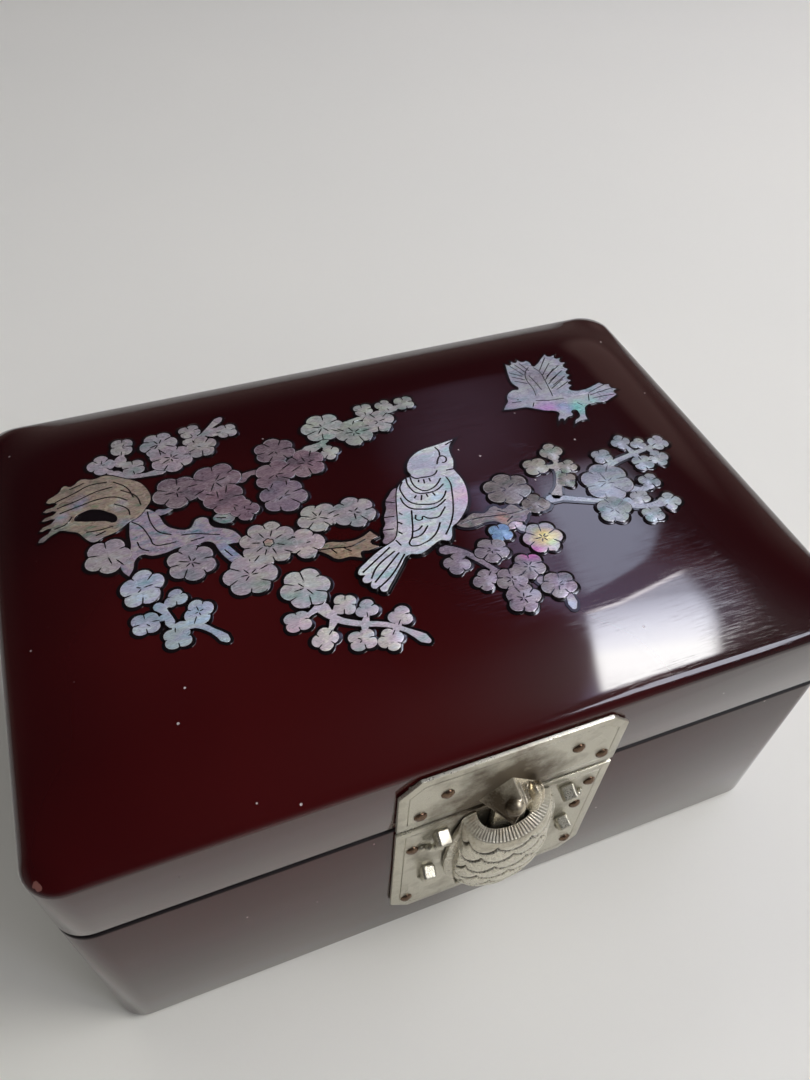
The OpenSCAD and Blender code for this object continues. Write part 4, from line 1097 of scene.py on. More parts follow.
flying_lines = feathers + [
    [(48.4, 24.2), (49, 27), (49, 31), (50, 34), (52, 36)], [(51, 26), (50.8, 30), (50.4, 32.6)],
    [(53.2, 35.4), (54, 33.4), (53.8, 30), (53.2, 26), (52.6, 22.6)],
    [(47.4, 22.4), (51, 21.4), (55, 21)], [(62.6, 21), (68.4, 23)], [(62.4, 20), (70, 21.2)],
    [(62.4, 18.6), (68.8, 18.6)], [(62.2, 20.6), (61, 18)],
    [(45.6, 20.4), (46.6, 21.8)], [(57.6, 18.2), (58.4, 16.8)], [(42.8, 24.2), (43.3, 24.2)],
    [(41, 23.6), (43.6, 23.2)]]
flying_set = drawn_set(flying, flying_lines, tone(178, 184, 196), SHELL_T, wide=0.45, width=0.26)
set_into_lid("flying_bird", *flying_set, PEARL, "shell_pale", "inlay_flying_bird")

# %% Clear away the blanks
for blank in [*BLANKS.values(), NEEDLE]:
    bpy.data.objects.remove(blank)

# %% [markdown]
# ## Old German silver
# The latch and hinges are cast from a pale copper and nickel alloy. It has turned a
# little yellow and is darker in soft patches. Round the turtle's head and in the grooves
# of its shell it is darker still, as painted shade. One function makes the finish for the
# plates, the turtle and the hinges, with more or less tarnish. Fine brushing and small
# pits go into the bump.

# %% Places on the latch
plate_low, plate_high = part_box("upper_plate")
lower_low, lower_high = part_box("lower_plate")
LATCH_X, FACE_Y, WALL_Y = (plate_low.x + plate_high.x) / 2, plate_low.y, plate_high.y
PARTING = LID_BOTTOM - 0.3 * MM


def at_latch(across, out, up):
    """A place near the latch, in millimetres from the middle of the parting line."""
    return Vector((LATCH_X + across * MM, FACE_Y - out * MM, PARTING + up * MM))


# %% Metal finishes
def make_nickel(name, tarnish, brush=(1, 1, 8), grain=0.35, relief=0.5, pale=(196, 191, 174),
                dull=(108, 97, 81), shade_grooves=False, painted_shade_at=((-2.5, 0, 3), 16, 4)):
    """Painted shade gathers round a place: its middle, how far it reaches and where it is full."""
    finish = Finish(name)
    cloud = finish.noise(6 * MM, 4, roughness=0.6)
    fine = finish.noise(grain * MM, 3, finish.place(brush))
    pits = finish.steps(finish.noise(0.9 * MM, 2), 0.65, 0.74)
    spot, far, close = painted_shade_at
    where = finish.node("TexCoord", output="Object")
    away = finish.node("VectorMath", {"operation": "DISTANCE"},
                       {0: where, 1: tuple(at_latch(*spot))}, "Value")
    # Painted shade: darker round this place, where the turtle's head casts its shade.
    painted_shade = finish.steps(away * -1 + cloud * 5 * MM, -far * MM, -close * MM)
    tarnish_and_painted_shade = finish.steps(cloud + (fine - 0.5) * 0.25 + tarnish + painted_shade * 0.65, 0.5, 1.0)
    colour = finish.mix(tarnish_and_painted_shade, tone(*pale), tone(*dull))
    if shade_grooves:
        # Painted shade: the groove attribute darkens the shell's grooves.
        groove = finish.node("Attribute", {"attribute_name": "groove"}, output="Fac")
        colour = finish.mix(groove * 0.85, colour, tone(72, 62, 48))
    colour = finish.mix(pits * 0.22, colour, tone(92, 78, 58))
    height = fine * 0.5 + cloud * 0.5 - pits * 0.6
    return finish.shader(Base_Color=colour, Metallic=0.8, Roughness=tarnish_and_painted_shade * 0.2 + fine * 0.12 + 0.22,
                         Normal=finish.bump(height, 0.05 * MM, relief))


def make_bronze():
    finish = Finish("bronze_nails")
    cloud = finish.noise(1.2 * MM, 3)
    colour = finish.mix(cloud, tone(70, 48, 38), tone(136, 112, 90))
    return finish.shader(Base_Color=colour, Metallic=0.9, Roughness=cloud * 0.2 + 0.16,
                         Normal=finish.bump(cloud, 0.2 * MM, 0.7))


def make_steel():
    finish = Finish("spring_steel")
    cloud = finish.noise(4 * MM, 3, finish.place((1, 1, 4)))
    colour = finish.mix(cloud, tone(150, 140, 118), tone(196, 190, 172))
    return finish.shader(Base_Color=colour, Metallic=0.95, Roughness=cloud * 0.2 + 0.25,
                         Normal=finish.bump(cloud, 0.04 * MM, 0.5))


# Each finish paints shade round the turtle's head; the head's own finish paints it left of the beak.
PLATE_SILVER = make_nickel("plate_silver", 0.0)
SHELL_SILVER = make_nickel("shell_silver_cast", -0.14, (1, 1, 1), 0.5, 0.2,
                           (210, 204, 186), (130, 118, 98), shade_grooves=True)
HEAD_SILVER = make_nickel("head_silver", -0.25, (1, 1, 1), 0.5, 0.4, (205, 194, 170), (92, 80, 64),
                          painted_shade_at=((-4.5, 4.5, 3.5), 7, 1.5))
BRONZE, STEEL = make_bronze(), make_steel()

# %% [markdown]
# ## The latch plates
# Each plate is a plane primitive with its two outer corners cut by a vertex bevel. It is
# extruded to its thickness, its edge is softened, and its face is inset twice: the narrow
# ring between the insets is pressed in, which gives the engraved border line. A smaller
# block behind holds the plate a hair off the wall, so a dark line shows round it.

# %% Latch plates
def latch_plate(name, bottom, top, clipped_up):
    """An engraved plate on the front wall whose upper or lower corners are cut."""
    bpy.ops.object.select_all(action="DESELECT")
    back_y, hidden = WALL_Y - 0.4 * MM, 2.4 * MM
    middle = Vector((LATCH_X, back_y, (bottom + top) / 2))
    bpy.ops.mesh.primitive_plane_add(size=1, location=middle, rotation=(math.pi / 2, 0, 0))
    piece = bpy.context.object
    piece.scale = (plate_high.x - plate_low.x, top - bottom, 1)
    settle(piece, name)
    edit(piece)
    pick("verts", lambda place, vert: (place.z > middle.z) == clipped_up)
    bpy.ops.mesh.bevel(offset=4.5 * MM, affect="VERTICES")
    bpy.ops.mesh.select_mode(type="FACE")
    bpy.ops.mesh.select_all(action="SELECT")
    bpy.ops.mesh.extrude_region_move(TRANSFORM_OT_translate={"value": (0, FACE_Y - back_y, 0)})
    pick("edges", lambda place, e: all(v.co.y < FACE_Y + 0.01 * MM for v in e.verts))
    bpy.ops.mesh.bevel(offset=0.16 * MM, segments=2)
    pick("faces", lambda place, face: place.y < FACE_Y + 0.01 * MM and face.calc_area() > 100 * MM * MM)
    bpy.ops.mesh.inset(thickness=1.9 * MM)
    bpy.ops.mesh.inset(thickness=0.16 * MM)
    bpy.ops.transform.translate(value=(0, 0.22 * MM, 0))
    bpy.ops.mesh.inset(thickness=0.16 * MM)
    bpy.ops.transform.translate(value=(0, -0.22 * MM, 0))
    leave()
    backing = box_block((plate_low.x + hidden, back_y - 0.1 * MM, bottom + hidden),
                        (plate_high.x - hidden, WALL_Y, top - hidden))
    return outward(join([piece, backing], name))


upper_plate = latch_plate("upper_plate_engraved", plate_low.z, plate_high.z, True)
lower_plate = latch_plate("lower_plate_engraved", lower_low.z, lower_high.z, False)
print("latch plates at x", round(LATCH_X / MM, 1), "mm, face at y", round(FACE_Y / MM, 1), "mm")

# %% [markdown]
# ## Cast forms
# The turtle's head and feet were cast, so their parts flow into each other. They are
# built from stretched spheres and blocks, melted together by a voxel remesh and then
# smoothed. The head's block is first cut to flat facets with bisect, which gives the
# beak. What would stick through the plate is cut off in the same way.

# %% Tools for cast forms
def ball(middle, across, out, up):
    """A stretched sphere near the latch: its middle and its three half sizes."""
    bpy.ops.object.select_all(action="DESELECT")
    bpy.ops.mesh.primitive_uv_sphere_add(segments=24, ring_count=14, radius=1, location=at_latch(*middle))
    piece = bpy.context.object
    piece.scale = (across * MM, out * MM, up * MM)
    return settle(piece, "ball")


def melt(pieces, name, voxel=0.22, rounds=3):
    """Melt pieces into one cast form, and cut it off at the plate's face."""
    form = join(pieces, name)
    modify(form, "REMESH", mode="VOXEL", voxel_size=voxel * MM)
    modify(form, "SMOOTH", factor=0.5, iterations=rounds)
    edit(form)
    bpy.ops.mesh.select_all(action="SELECT")
    bpy.ops.mesh.bisect(plane_co=(0, FACE_Y + 0.1 * MM, 0), plane_no=(0, 1, 0), use_fill=True,
                        clear_outer=True)
    leave()
    return form


def facet(form, spot, facing):
    """Cut one flat facet: what lies beyond this place, the way it faces, goes."""
    edit(form)
    bpy.ops.mesh.select_all(action="SELECT")
    bpy.ops.mesh.bisect(plane_co=at_latch(*spot), use_fill=True, clear_outer=True,
                        plane_no=Vector((facing[0], -facing[1], facing[2])).normalized())
    leave()


def press(form, chain, radius, depth):
    """Press a groove into a form, along a chain of places near it."""
    spots = []
    for a, b in zip(chain, chain[1:]):
        a, b = at_latch(*a), at_latch(*b)
        spots += [a.lerp(b, t / 12) for t in range(13)]
    moves = []
    for vertex in form.data.vertices:
        gap = min((vertex.co - spot).length for spot in spots) / (radius * MM)
        if gap < 1:
            moves.append((vertex, vertex.normal * depth * MM * (1 - gap * gap) ** 2))
    for vertex, move in moves:
        vertex.co -= move


# %% Turtle's head
skull = box_block(at_latch(-8, 8, 10), at_latch(6, -1, -5))
BEAK_TIP, BROW = (-2.0, 6.6, 1.0), (1.4, 4.9, 4.2)
for spot, facing in ((BEAK_TIP, (-27, 32, 33)), (BROW, (35, 24, 38)),
                     (BEAK_TIP, (-60, 34, -45)), (BEAK_TIP, (30, 45, -8))):
    facet(skull, spot, facing)
modify(skull, "BEVEL", width=0.7 * MM, segments=3, limit_method="ANGLE", angle_limit=math.radians(15))
head = melt([skull, ball((-0.8, 4.1, 3.7), 2.3, 1.9, 2.1), ball((4.2, 2.6, 1.6), 1.4, 2.6, 5.2),
             ball((5.9, 2.0, 0.6), 1.1, 2.2, 5.0)], "head_form")
press(head, [(-5.4, 2.4, 2.9), (-3.6, 4.8, 1.9), (-2.1, 6.2, 1.9), (-0.4, 5.8, 2.7), (1.2, 5.0, 3.9),
             (1.5, 3.4, 5.4), (0.8, 1.2, 7.2)], 0.7, 0.6)
tongue = box_block(at_latch(-4, 2.4, 3.2), at_latch(4, 0.4, -14.2))
modify(tongue, "BEVEL", width=0.3 * MM, segments=2)
turtle_head = join([head, tongue], "turtle_head_cast")
hand_in(smooth(turtle_head, 50), "lid", HEAD_SILVER, "nickel", "turtle_head")

# %% [markdown]
# ## The turtle's feet
# Four feet stand on the lower plate, two at each side of the shell. A foot is a block
# with chamfered edges and a bright flat top, with a few round toes at its outer end. Each
# pair is a mirrored copy.

# %% Feet
def foot(knee, tip, size, lean, toes):
    """One foot at the left: a block at the knee, and toes that curl down to the tip."""
    bpy.ops.object.select_all(action="DESELECT")
    bpy.ops.mesh.primitive_cube_add(size=1, location=at_latch(knee[0], size * 0.42, knee[1]),
                                    rotation=[math.radians(a) for a in lean])
    block = bpy.context.object
    block.scale = (size * 1.1 * MM, size * 1.15 * MM, size * MM)
    settle(block, "block")
    modify(block, "BEVEL", width=0.35 * MM, segments=1)
    parts = [block]
    along = Vector((tip[0] - knee[0], tip[1] - knee[1])).normalized()
    for k in range(toes):
        side = (k - (toes - 1) / 2) * 1.15
        for step in range(4):
            t = step / 3
            across = knee[0] + (tip[0] - knee[0]) * t - along.y * side * (0.5 + 0.5 * t)
            up = knee[1] + (tip[1] - knee[1]) * t + along.x * side * (0.5 + 0.5 * t)
            parts.append(ball((across, size * 0.62 * (1 - t * t) + 0.3, up), 0.85, 0.95 - 0.2 * t, 0.85))
    return melt(parts, "foot", 0.18, 1)


left_feet = [foot((-15.2, -6.8), (-18.6, -11.6), 3.1, (22, 9, 2), 3),
             foot((-17.4, -24.6), (-18.0, -28.6), 2.9, (22, 9, -4), 2)]
mirrored = Matrix.Translation((LATCH_X * 2, 0, 0)) @ Matrix.Scale(-1, 4, (1, 0, 0))
right_feet = [outward(twin(piece, mirrored)) for piece in left_feet]
ears = [box_block(at_latch(side * 5 - 0.8, 3.0, -35.2), at_latch(side * 5 + 0.8, -0.2, -32))
        for side in (-1, 1)]
for ear in ears:
    modify(ear, "BEVEL", width=0.4 * MM, segments=2)
lower_plate = join([lower_plate, *left_feet, *right_feet, *ears], "lower_plate_engraved")
hand_in(smooth(lower_plate, 38), "base", PLATE_SILVER, "nickel", "lower_plate")
hand_in(smooth(upper_plate, 38), "lid", PLATE_SILVER, "nickel", "upper_plate")

# %% [markdown]
# ## The turtle's shell
# The shell is half of an egg that stands on the plate. It starts as a grid, whose rows
# run from the neck over the collar and down to the tail, and whose columns run round
# from one side to the other. The collar carries fine ribs that fan out from the neck,
# and it climbs towards the plate at both sides. Below it, each scute overlaps the next
# row like a roof tile, with a groove at its edge that is painted dark, as shade. Below
# the pivot, nothing comes nearer to the plate than the tilt allows.

# %% Shell form
SHELL_W, SHELL_OUT, SHELL_LONG, COLLAR, LEDGE_UP = 14.0, 7.9, 35.9, 0.9, -7.1
SHELL_SHARES = [(0, 0.75, 0.85), (0.065, 0.83, 0.90), (0.207, 0.95, 0.98), (0.405, 1, 1),
                (0.63, 0.94, 0.94), (0.8, 0.76, 0.75), (0.915, 0.52, 0.50), (1, 0.22, 0.22)]
PIVOT_OUT, PIVOT_DROP, TILT, TILT_GAP = 2.2, 34.0, math.radians(8), 0.3
NECK_LIFT, OFF_PLATE, SHELL_WALL = 5.6, 0.35, 0.8


def shell_share(along, column):
    """Breadth or height of the shell at this share of its length."""
    total = 0
    for step in range(-3, 4):
        t = min(max(along + step * 0.012, 0), 1)
        for a, b in zip(SHELL_SHARES, SHELL_SHARES[1:]):
            if t <= b[0]:
                total += a[column] + (b[column] - a[column]) * (t - a[0]) / (b[0] - a[0])
                break
    return total / 7


def scute(around, down):
    """Height of the scutes' relief, for places in millimetres round and down the shell."""
    pitch, row_pitch, reach = 6.4, 4.8, 3.9
    for row in range(-1, 9):
        middle_down = row * row_pitch - 0.4
        offset = (row % 2) * pitch / 2
        column = round((around - offset) / pitch)
        gap = math.hypot(around - offset - column * pitch, (down - middle_down) * 0.92) / reach
        if gap < 1:
            edge = max(0, (gap - 0.8) / 0.2)
            return 0.42 - 0.2 * gap * gap - 0.8 * edge ** 1.5
    return -0.5


bpy.ops.object.select_all(action="DESELECT")
COLUMNS, ROWS, INNER_ROWS, LEDGE_ROWS = 210, 170, 5, 25
RISE_COLUMNS, BRIM_COLUMNS = 2, 12  # they rise from the plate and cross the brim
BRIM_RUN = BRIM_COLUMNS - RISE_COLUMNS
bpy.ops.mesh.primitive_grid_add(x_subdivisions=COLUMNS, y_subdivisions=ROWS, size=2)
shell_form = bpy.context.object
settle(shell_form, "turtle_shell_cast")
groove_shade_values = shell_form.data.attributes.new("groove", "FLOAT", "POINT").data
for vertex in shell_form.data.vertices:
    share = (vertex.co.x + 1) / 2
    row = (1 - vertex.co.y) / 2 * ROWS
    if row < LEDGE_ROWS:
        inner = max(0, (row - INNER_ROWS) / (LEDGE_ROWS - INNER_ROWS))
        wide = 7.4 + (SHELL_W * 0.75 - 7.7) * inner
        out = 3.7 + (SHELL_OUT * 0.85 - 4.0) * inner
        around = share * math.pi * 7.2
        rib = 0.5 + 0.5 * math.cos(around * 2 * math.pi / 0.62)
        ends = min(1, inner / 0.12, (1 - inner) / 0.08)
        up = LEDGE_UP - 1.6 * max(0, 1 - row / INNER_ROWS) - 1.1 * inner ** 1.7 - 0.2 * (1 - rib) * ends
    else:
        along = (row - LEDGE_ROWS) / (ROWS - LEDGE_ROWS)
        down = along * SHELL_LONG
        wide = SHELL_W * shell_share(along, 1)
        out = SHELL_OUT * shell_share(along, 2) * (1 - 0.07 * min(1, down / 8))
        up = LEDGE_UP - 1.1 - down * (SHELL_LONG - 1.1) / SHELL_LONG
        around = (share - 0.5) * math.pi * (wide + out) / 2
        fade = min(1, max(0, (down - COLLAR) / 0.6))
        bare = min(1, max(0, (abs(around) - 12) / 1.5))
        tail = min(1, max(0, (SHELL_LONG - down - 2) / 4))
        relief = scute(around, down - COLLAR) * fade * tail * (1 - bare)
        relief += 0.12 * (1 - fade) * min(1, down / 0.3)
        wide, out = wide - 0.3 + relief, out - 0.3 + relief
        # The groove attribute says where painted shade darkens the grooves.
        groove_shade_values[vertex.index].value = min(1, max(0, (0.1 - relief) / 0.4)) * fade
    side, column = (1 if share > 0.5 else -1), min(share, 1 - share) * COLUMNS
    brim = 0 if row < LEDGE_ROWS else 1.9 * min(1, down / 7)
    rim_out = OFF_PLATE + (1.1 + 0.2 * min(1, max(0, column - RISE_COLUMNS) / BRIM_RUN)) * min(1, brim)
    turn = 0
    if brim > 0 and column <= RISE_COLUMNS:
        place_out = OFF_PLATE + (rim_out - OFF_PLATE) * column / RISE_COLUMNS
        across = side * wide
    elif brim > 0 and column <= BRIM_COLUMNS:
        place_out, across = rim_out, side * (wide - brim * (column - RISE_COLUMNS) / BRIM_RUN)
    else:
        turn = math.pi * min(share, 1 - share)
        if brim > 0:
            turn = math.pi * (column - BRIM_COLUMNS) / (COLUMNS - 2 * BRIM_COLUMNS)
        place_out = rim_out + max(out - rim_out, 0) * math.sin(turn)
        across = side * (wide - brim) * math.cos(turn)
    fade = 1 if brim == 0 else max(0, 1 - down / 16)
    vertex.co = at_latch(across, place_out, up + NECK_LIFT * fade * (1 - math.sin(turn)) ** 1.5)
outward(shell_form)
modify(shell_form, "SMOOTH", factor=0.5, iterations=2)
modify(shell_form, "SOLIDIFY", thickness=SHELL_WALL * MM, offset=-1, use_even_offset=False)
for vertex in shell_form.data.vertices:
    above = (vertex.co.z - PARTING) / MM + PIVOT_DROP
    if above < 0:
        nearest = (TILT_GAP - PIVOT_OUT - above * math.sin(TILT)) / math.cos(TILT) + PIVOT_OUT
        vertex.co.y = min(vertex.co.y, FACE_Y - nearest * MM)
hand_in(smooth(shell_form, 60), "latch", SHELL_SILVER, "nickel", "turtle_shell")

# %% [markdown]
# ## The nails
# The plates hang on domed bronze nails, hammered in by hand. One head is half of a sphere
# with a few facets where the hammer met it, and every copy is turned a little.

# %% Latch nails
def make_nail(radius, height):
    """A nail's head at the origin, with its dome towards the viewer in front."""
    bpy.ops.object.select_all(action="DESELECT")
    bpy.ops.mesh.primitive_uv_sphere_add(segments=20, ring_count=12, radius=1)
    nail = bpy.context.object
    edit(nail)
    bpy.ops.mesh.select_all(action="SELECT")
    bpy.ops.mesh.bisect(plane_co=(0, 0, -0.1), plane_no=(0, 0, -1), use_fill=True, clear_outer=True)
    for blow in ((0.5, 0.2, 0.85), (-0.4, 0.5, 0.8), (0.1, -0.6, 0.82)):
        normal = Vector(blow).normalized()
        pick("verts", lambda place, vert: place.dot(normal) > 0.86)
        bpy.ops.transform.translate(value=tuple(-0.07 * c for c in normal))
    leave()
    nail.scale = (radius * MM, radius * MM, height * MM)
    return settle(nail, "nail")


random.seed(11)


def nail_row(name, places, head, body, *nodes):
    """Copies of a nail head at these places near the latch."""
    nails = []
    for across, up in places:
        turn = (Matrix.Rotation(math.radians(90 + random.uniform(-5, 5)), 4, "X")
                @ Matrix.Rotation(random.uniform(0, 6), 4, "Z"))
        nails.append(twin(head, Matrix.Translation(at_latch(across, -0.02, up)) @ turn))
    bpy.data.objects.remove(head)
    hand_in(smooth(join(nails, name), 45), body, BRONZE, "bronze_nails", *nodes)


nail_row("upper_nails_hammered", [(-15, 12), (-20.5, 5.4), (14.5, 12), (21.5, 5.4)], make_nail(1.5, 0.9),
         "lid", "upper_plate_nails")
nail_row("lower_nails_hammered", [(-21.4, -11.2), (21.4, -7.6), (20, -18.6), (-21.6, -40), (21.6, -40)],
         make_nail(1.5, 0.9), "base", "lower_plate_nails")
for node in ("shell_pin", "shell_spring"):
    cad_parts[node].data.materials[0] = STEEL

# %% [markdown]
# ## The hinges
# The leaves, knuckles and pins of the two hinges already have their right shape in the
# frame, so they stay as they are and only get a metal finish. Their nails get the same
# hammered bronze as the latch's.

# %% Hinges
for side in ("left", "right"):
    for part in ("body_leaf", "lid_leaf"):
        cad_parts[f"hinge_{side}_{part}"].data.materials[0] = PLATE_SILVER
    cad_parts[f"hinge_{side}_pin"].data.materials[0] = STEEL
for node in ("hinge_body_nails", "hinge_lid_nails"):
    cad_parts[node].data.materials[0] = BRONZE

# %% [markdown]
# ## Wood, card and felt
# The base board is bare wood with a fine straight grain, and its underside is covered
# with black felt. Behind the mirror lies a sheet of brown card.

# %% Plain finishes
def make_wood():
    finish = Finish("bare_wood")
    rings = finish.noise(5 * MM, 5, finish.place((0.08, 1, 1)))
    pores = finish.noise(0.5 * MM, 2, finish.place((0.05, 1, 1)))
    colour = finish.mix(rings, tone(176, 138, 92), tone(206, 172, 122))
    colour = finish.mix(finish.steps(pores, 0.55, 0.75) * 0.5, colour, tone(120, 84, 50))
    return finish.shader(Base_Color=colour, Roughness=rings * 0.2 + 0.6,
                         Normal=finish.bump(pores, 0.08 * MM, 0.7))


def make_felt():
    finish = Finish("black_felt")
    fibres = finish.noise(0.35 * MM, 4, roughness=0.7)
    clumps = finish.noise(7 * MM, 3)
    colour = finish.mix(fibres * 0.6 + clumps * 0.4, tone(26, 26, 28), tone(72, 70, 74))
    return finish.shader(Base_Color=colour, Roughness=0.95, Normal=finish.bump(fibres, 0.2 * MM),
                         Sheen_Weight=0.4)


def make_card():
    finish = Finish("brown_card")
    fibres = finish.noise(0.8 * MM, 4)
    colour = finish.mix(fibres, tone(126, 108, 92), tone(158, 138, 118))
    return finish.shader(Base_Color=colour, Roughness=0.85, Normal=finish.bump(fibres, 0.04 * MM))


def make_mirror():
    """Silvered glass with a few faint smudges."""
    finish = Finish("mirror")
    smudge = finish.steps(finish.noise(18 * MM, 4, roughness=0.7), 0.55, 0.9)
    colour = finish.mix(smudge, tone(236, 240, 240), tone(214, 220, 220))
    return finish.shader(Base_Color=colour, Metallic=1.0, Roughness=smudge * 0.05 + 0.015,
                         Normal=finish.bump(smudge, 0.01 * MM, 0.3))


for node, material in (("base_board", make_wood()), ("base_felt", make_felt()),
                       ("mirror_backing", make_card()), ("mirror_glass", make_mirror())):
    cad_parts[node].data.materials[0] = material

# %% [markdown]
# ## Velvet and satin
# The inside is lined with red velvet, and the lid with gold satin. Velvet is dark where
# the nap leans one way and light where it leans the other, so large soft patches play
# over it, and a sheen brightens it at the edges. Satin has a fine weave and a smooth
# shine that follows its folds.

# %% Fabric finishes
def make_velvet(name, dark, light):
    finish = Finish(name)
    nap = finish.noise(16 * MM, 3, roughness=0.6)
    fibres = finish.noise(0.3 * MM, 3)
    colour = finish.mix(finish.steps(nap * 0.8 + fibres * 0.3, 0.35, 0.75), tone(*dark), tone(*light))
    return finish.shader(Base_Color=colour, Roughness=0.9,
                         Normal=finish.bump(fibres + nap, 0.12 * MM, 0.8),
                         Sheen_Weight=0.7, Sheen_Roughness=0.4, Sheen_Tint=tone(255, 150, 150))


def make_satin():
    finish = Finish("gold_satin")
    threads = finish.node("TexWave", {"wave_type": "BANDS", "bands_direction": "DIAGONAL"},
                          {"Vector": finish.place(), "Scale": 700.0, "Distortion": 0.6,
                           "Detail": 1.0}, "Fac")
    folds = finish.noise(9 * MM, 3)
    colour = finish.mix(folds, tone(176, 140, 84), tone(216, 184, 124))
    return finish.shader(Base_Color=colour, Roughness=folds * 0.12 + 0.3, Sheen_Weight=0.35,
                         Normal=finish.bump(threads * 0.3 + folds, 0.15 * MM, 0.6))


VELVET = make_velvet("red_velvet", (74, 8, 18), (128, 22, 36))
RING_VELVET = make_velvet("ring_velvet", (88, 10, 22), (146, 30, 44))
SATIN = make_satin()

# %% [markdown]
# ## Linings and dividers
# Each lining is a thin board wrapped in fabric. It starts as a cube primitive with the
# board's box, gets rounded edges, and is divided finely enough for the fabric to rise a
# little in soft lumps over its face.

# %% Wrapped boards
def wrapped_board(node, name, material, slot, body, rounding=0.45, swell=0.12):
    low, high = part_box(node)
    board = box_block(low, high)
    modify(board, "BEVEL", width=rounding * MM, segments=3)
    for axis in range(3):
        cuts = int((high - low)[axis] / (4 * MM))
        normal = [0, 0, 0]
        normal[axis] = 1
        edit(board)
        for k in range(1, cuts):
            bpy.ops.mesh.select_all(action="SELECT")
            place = Vector(low)
            place[axis] += (high - low)[axis] * k / cuts
            bpy.ops.mesh.bisect(plane_co=place, plane_no=normal)
        leave()
    middle = (low + high) / 2
    thin = min(range(3), key=lambda axis: (high - low)[axis])
    for vertex in board.data.vertices:
        side = 1 if vertex.co[thin] > middle[thin] else -1
        x, y, z = vertex.co
        wave = math.sin(x * 410 + z * 170) + math.sin(y * 350 - x * 120)
        vertex.co[thin] -= side * swell * MM * (0.5 + 0.25 * wave)
    board.name = board.data.name = name
    return hand_in(smooth(board, 50), body, material, slot, node)


for side in ("front", "back", "left", "right"):
    wrapped_board(f"lining_{side}", f"velvet_lining_{side}", VELVET, "velvet", "base")
    wrapped_board(f"lid_lining_{side}", f"satin_lining_{side}", SATIN, "satin", "lid")
wrapped_board("lining_floor", "velvet_floor", VELVET, "velvet", "base", 0.6, 0.3)
wrapped_board("divider_long", "velvet_divider_long", VELVET, "velvet", "base", 1.1, 0.1)
wrapped_board("divider_cross", "velvet_divider_cross", VELVET, "velvet", "base", 1.1, 0.1)
wrapped_board("ring_bed", "velvet_ring_bed", RING_VELVET, "ring_velvet", "base", 1.5, 0.2)

# %% [markdown]
# ## Padded pieces
# The ring rolls and the frame round the mirror are stuffed. Each starts as a slightly
# smaller solid, is remeshed to even faces, and is then inflated by Blender's cloth
# simulation, with a pressure inside and no gravity. One roll is simulated and the others
# are copies. At the end each pad is fitted to the space that the frame gives it.

# %% Inflate a pad
def inflate(pad, voxel, pressure, cap):
    """Swell a closed form with a cloth simulation, no further than the cap in millimetres."""
    modify(pad, "REMESH", mode="VOXEL", voxel_size=voxel * MM)
    before = [v.co.copy() for v in pad.data.vertices]
    only(pad)
    cloth = pad.modifiers.new("cloth", "CLOTH")
    cloth.settings.use_pressure = True
    cloth.settings.uniform_pressure_force = pressure
    cloth.settings.quality = 5
    cloth.settings.effector_weights.gravity = 0
    cloth.point_cache.frame_start, cloth.point_cache.frame_end = 1, 20
    scene = bpy.context.scene
    for step in range(1, 21):
        scene.frame_set(step)
    bpy.ops.object.modifier_apply(modifier=cloth.name)
    scene.frame_set(1)
    for vertex, start in zip(pad.data.vertices, before):
        move = vertex.co - start
        if move.length > cap * MM:
            vertex.co = start + move.normalized() * cap * MM
    return pad


def fit_into(pad, low, high):
    """Stretch a pad to exactly this box."""
    least = Vector([min(v.co[axis] for v in pad.data.vertices) for axis in range(3)])
    most = Vector([max(v.co[axis] for v in pad.data.vertices) for axis in range(3)])
    for vertex in pad.data.vertices:
        for axis in range(3):
            share = (vertex.co[axis] - least[axis]) / (most[axis] - least[axis])
            vertex.co[axis] = low[axis] + (high[axis] - low[axis]) * share
    return pad


# %% Ring rolls
roll_low, roll_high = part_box("ring_roll_1")
middle, reach = (roll_low + roll_high) / 2, (roll_high - roll_low) / 2
bpy.ops.object.select_all(action="DESELECT")
bpy.ops.mesh.primitive_cylinder_add(vertices=32, radius=reach.x * 0.9, depth=reach.y * 1.94,
                                    location=middle, rotation=(math.pi / 2, 0, 0))
roll = settle(bpy.context.object, "ring_roll_padded_1")
modify(roll, "BEVEL", width=2.2 * MM, segments=4, limit_method="ANGLE")
inflate(roll, 1.6, 4, 1.2)
modify(roll, "SUBSURF", levels=1, render_levels=1)
for vertex in roll.data.vertices:
    along = (vertex.co.y - middle.y) / reach.y
    turn = math.atan2(vertex.co.z - middle.z, vertex.co.x - middle.x)
    pucker = 0.25 * MM * max(0, abs(along) - 0.7) / 0.3 * math.cos(turn * 14)
    seam = 0.5 * MM * math.exp(-((turn + math.pi / 2) / 0.09) ** 2)
    radial = Vector((math.cos(turn), 0, math.sin(turn)))
    vertex.co += radial * (pucker - seam)
fit_into(roll, roll_low, roll_high)
for number in range(2, 6):
    low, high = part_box(f"ring_roll_{number}")
    copy = twin(roll, Matrix.Translation(low - roll_low))
    copy.name = copy.data.name = f"ring_roll_padded_{number}"
    hand_in(smooth(copy, 60), "base", RING_VELVET, "ring_velvet",
                      f"ring_roll_{number}")
hand_in(smooth(roll, 60), "base", RING_VELVET, "ring_velvet", "ring_roll_1")

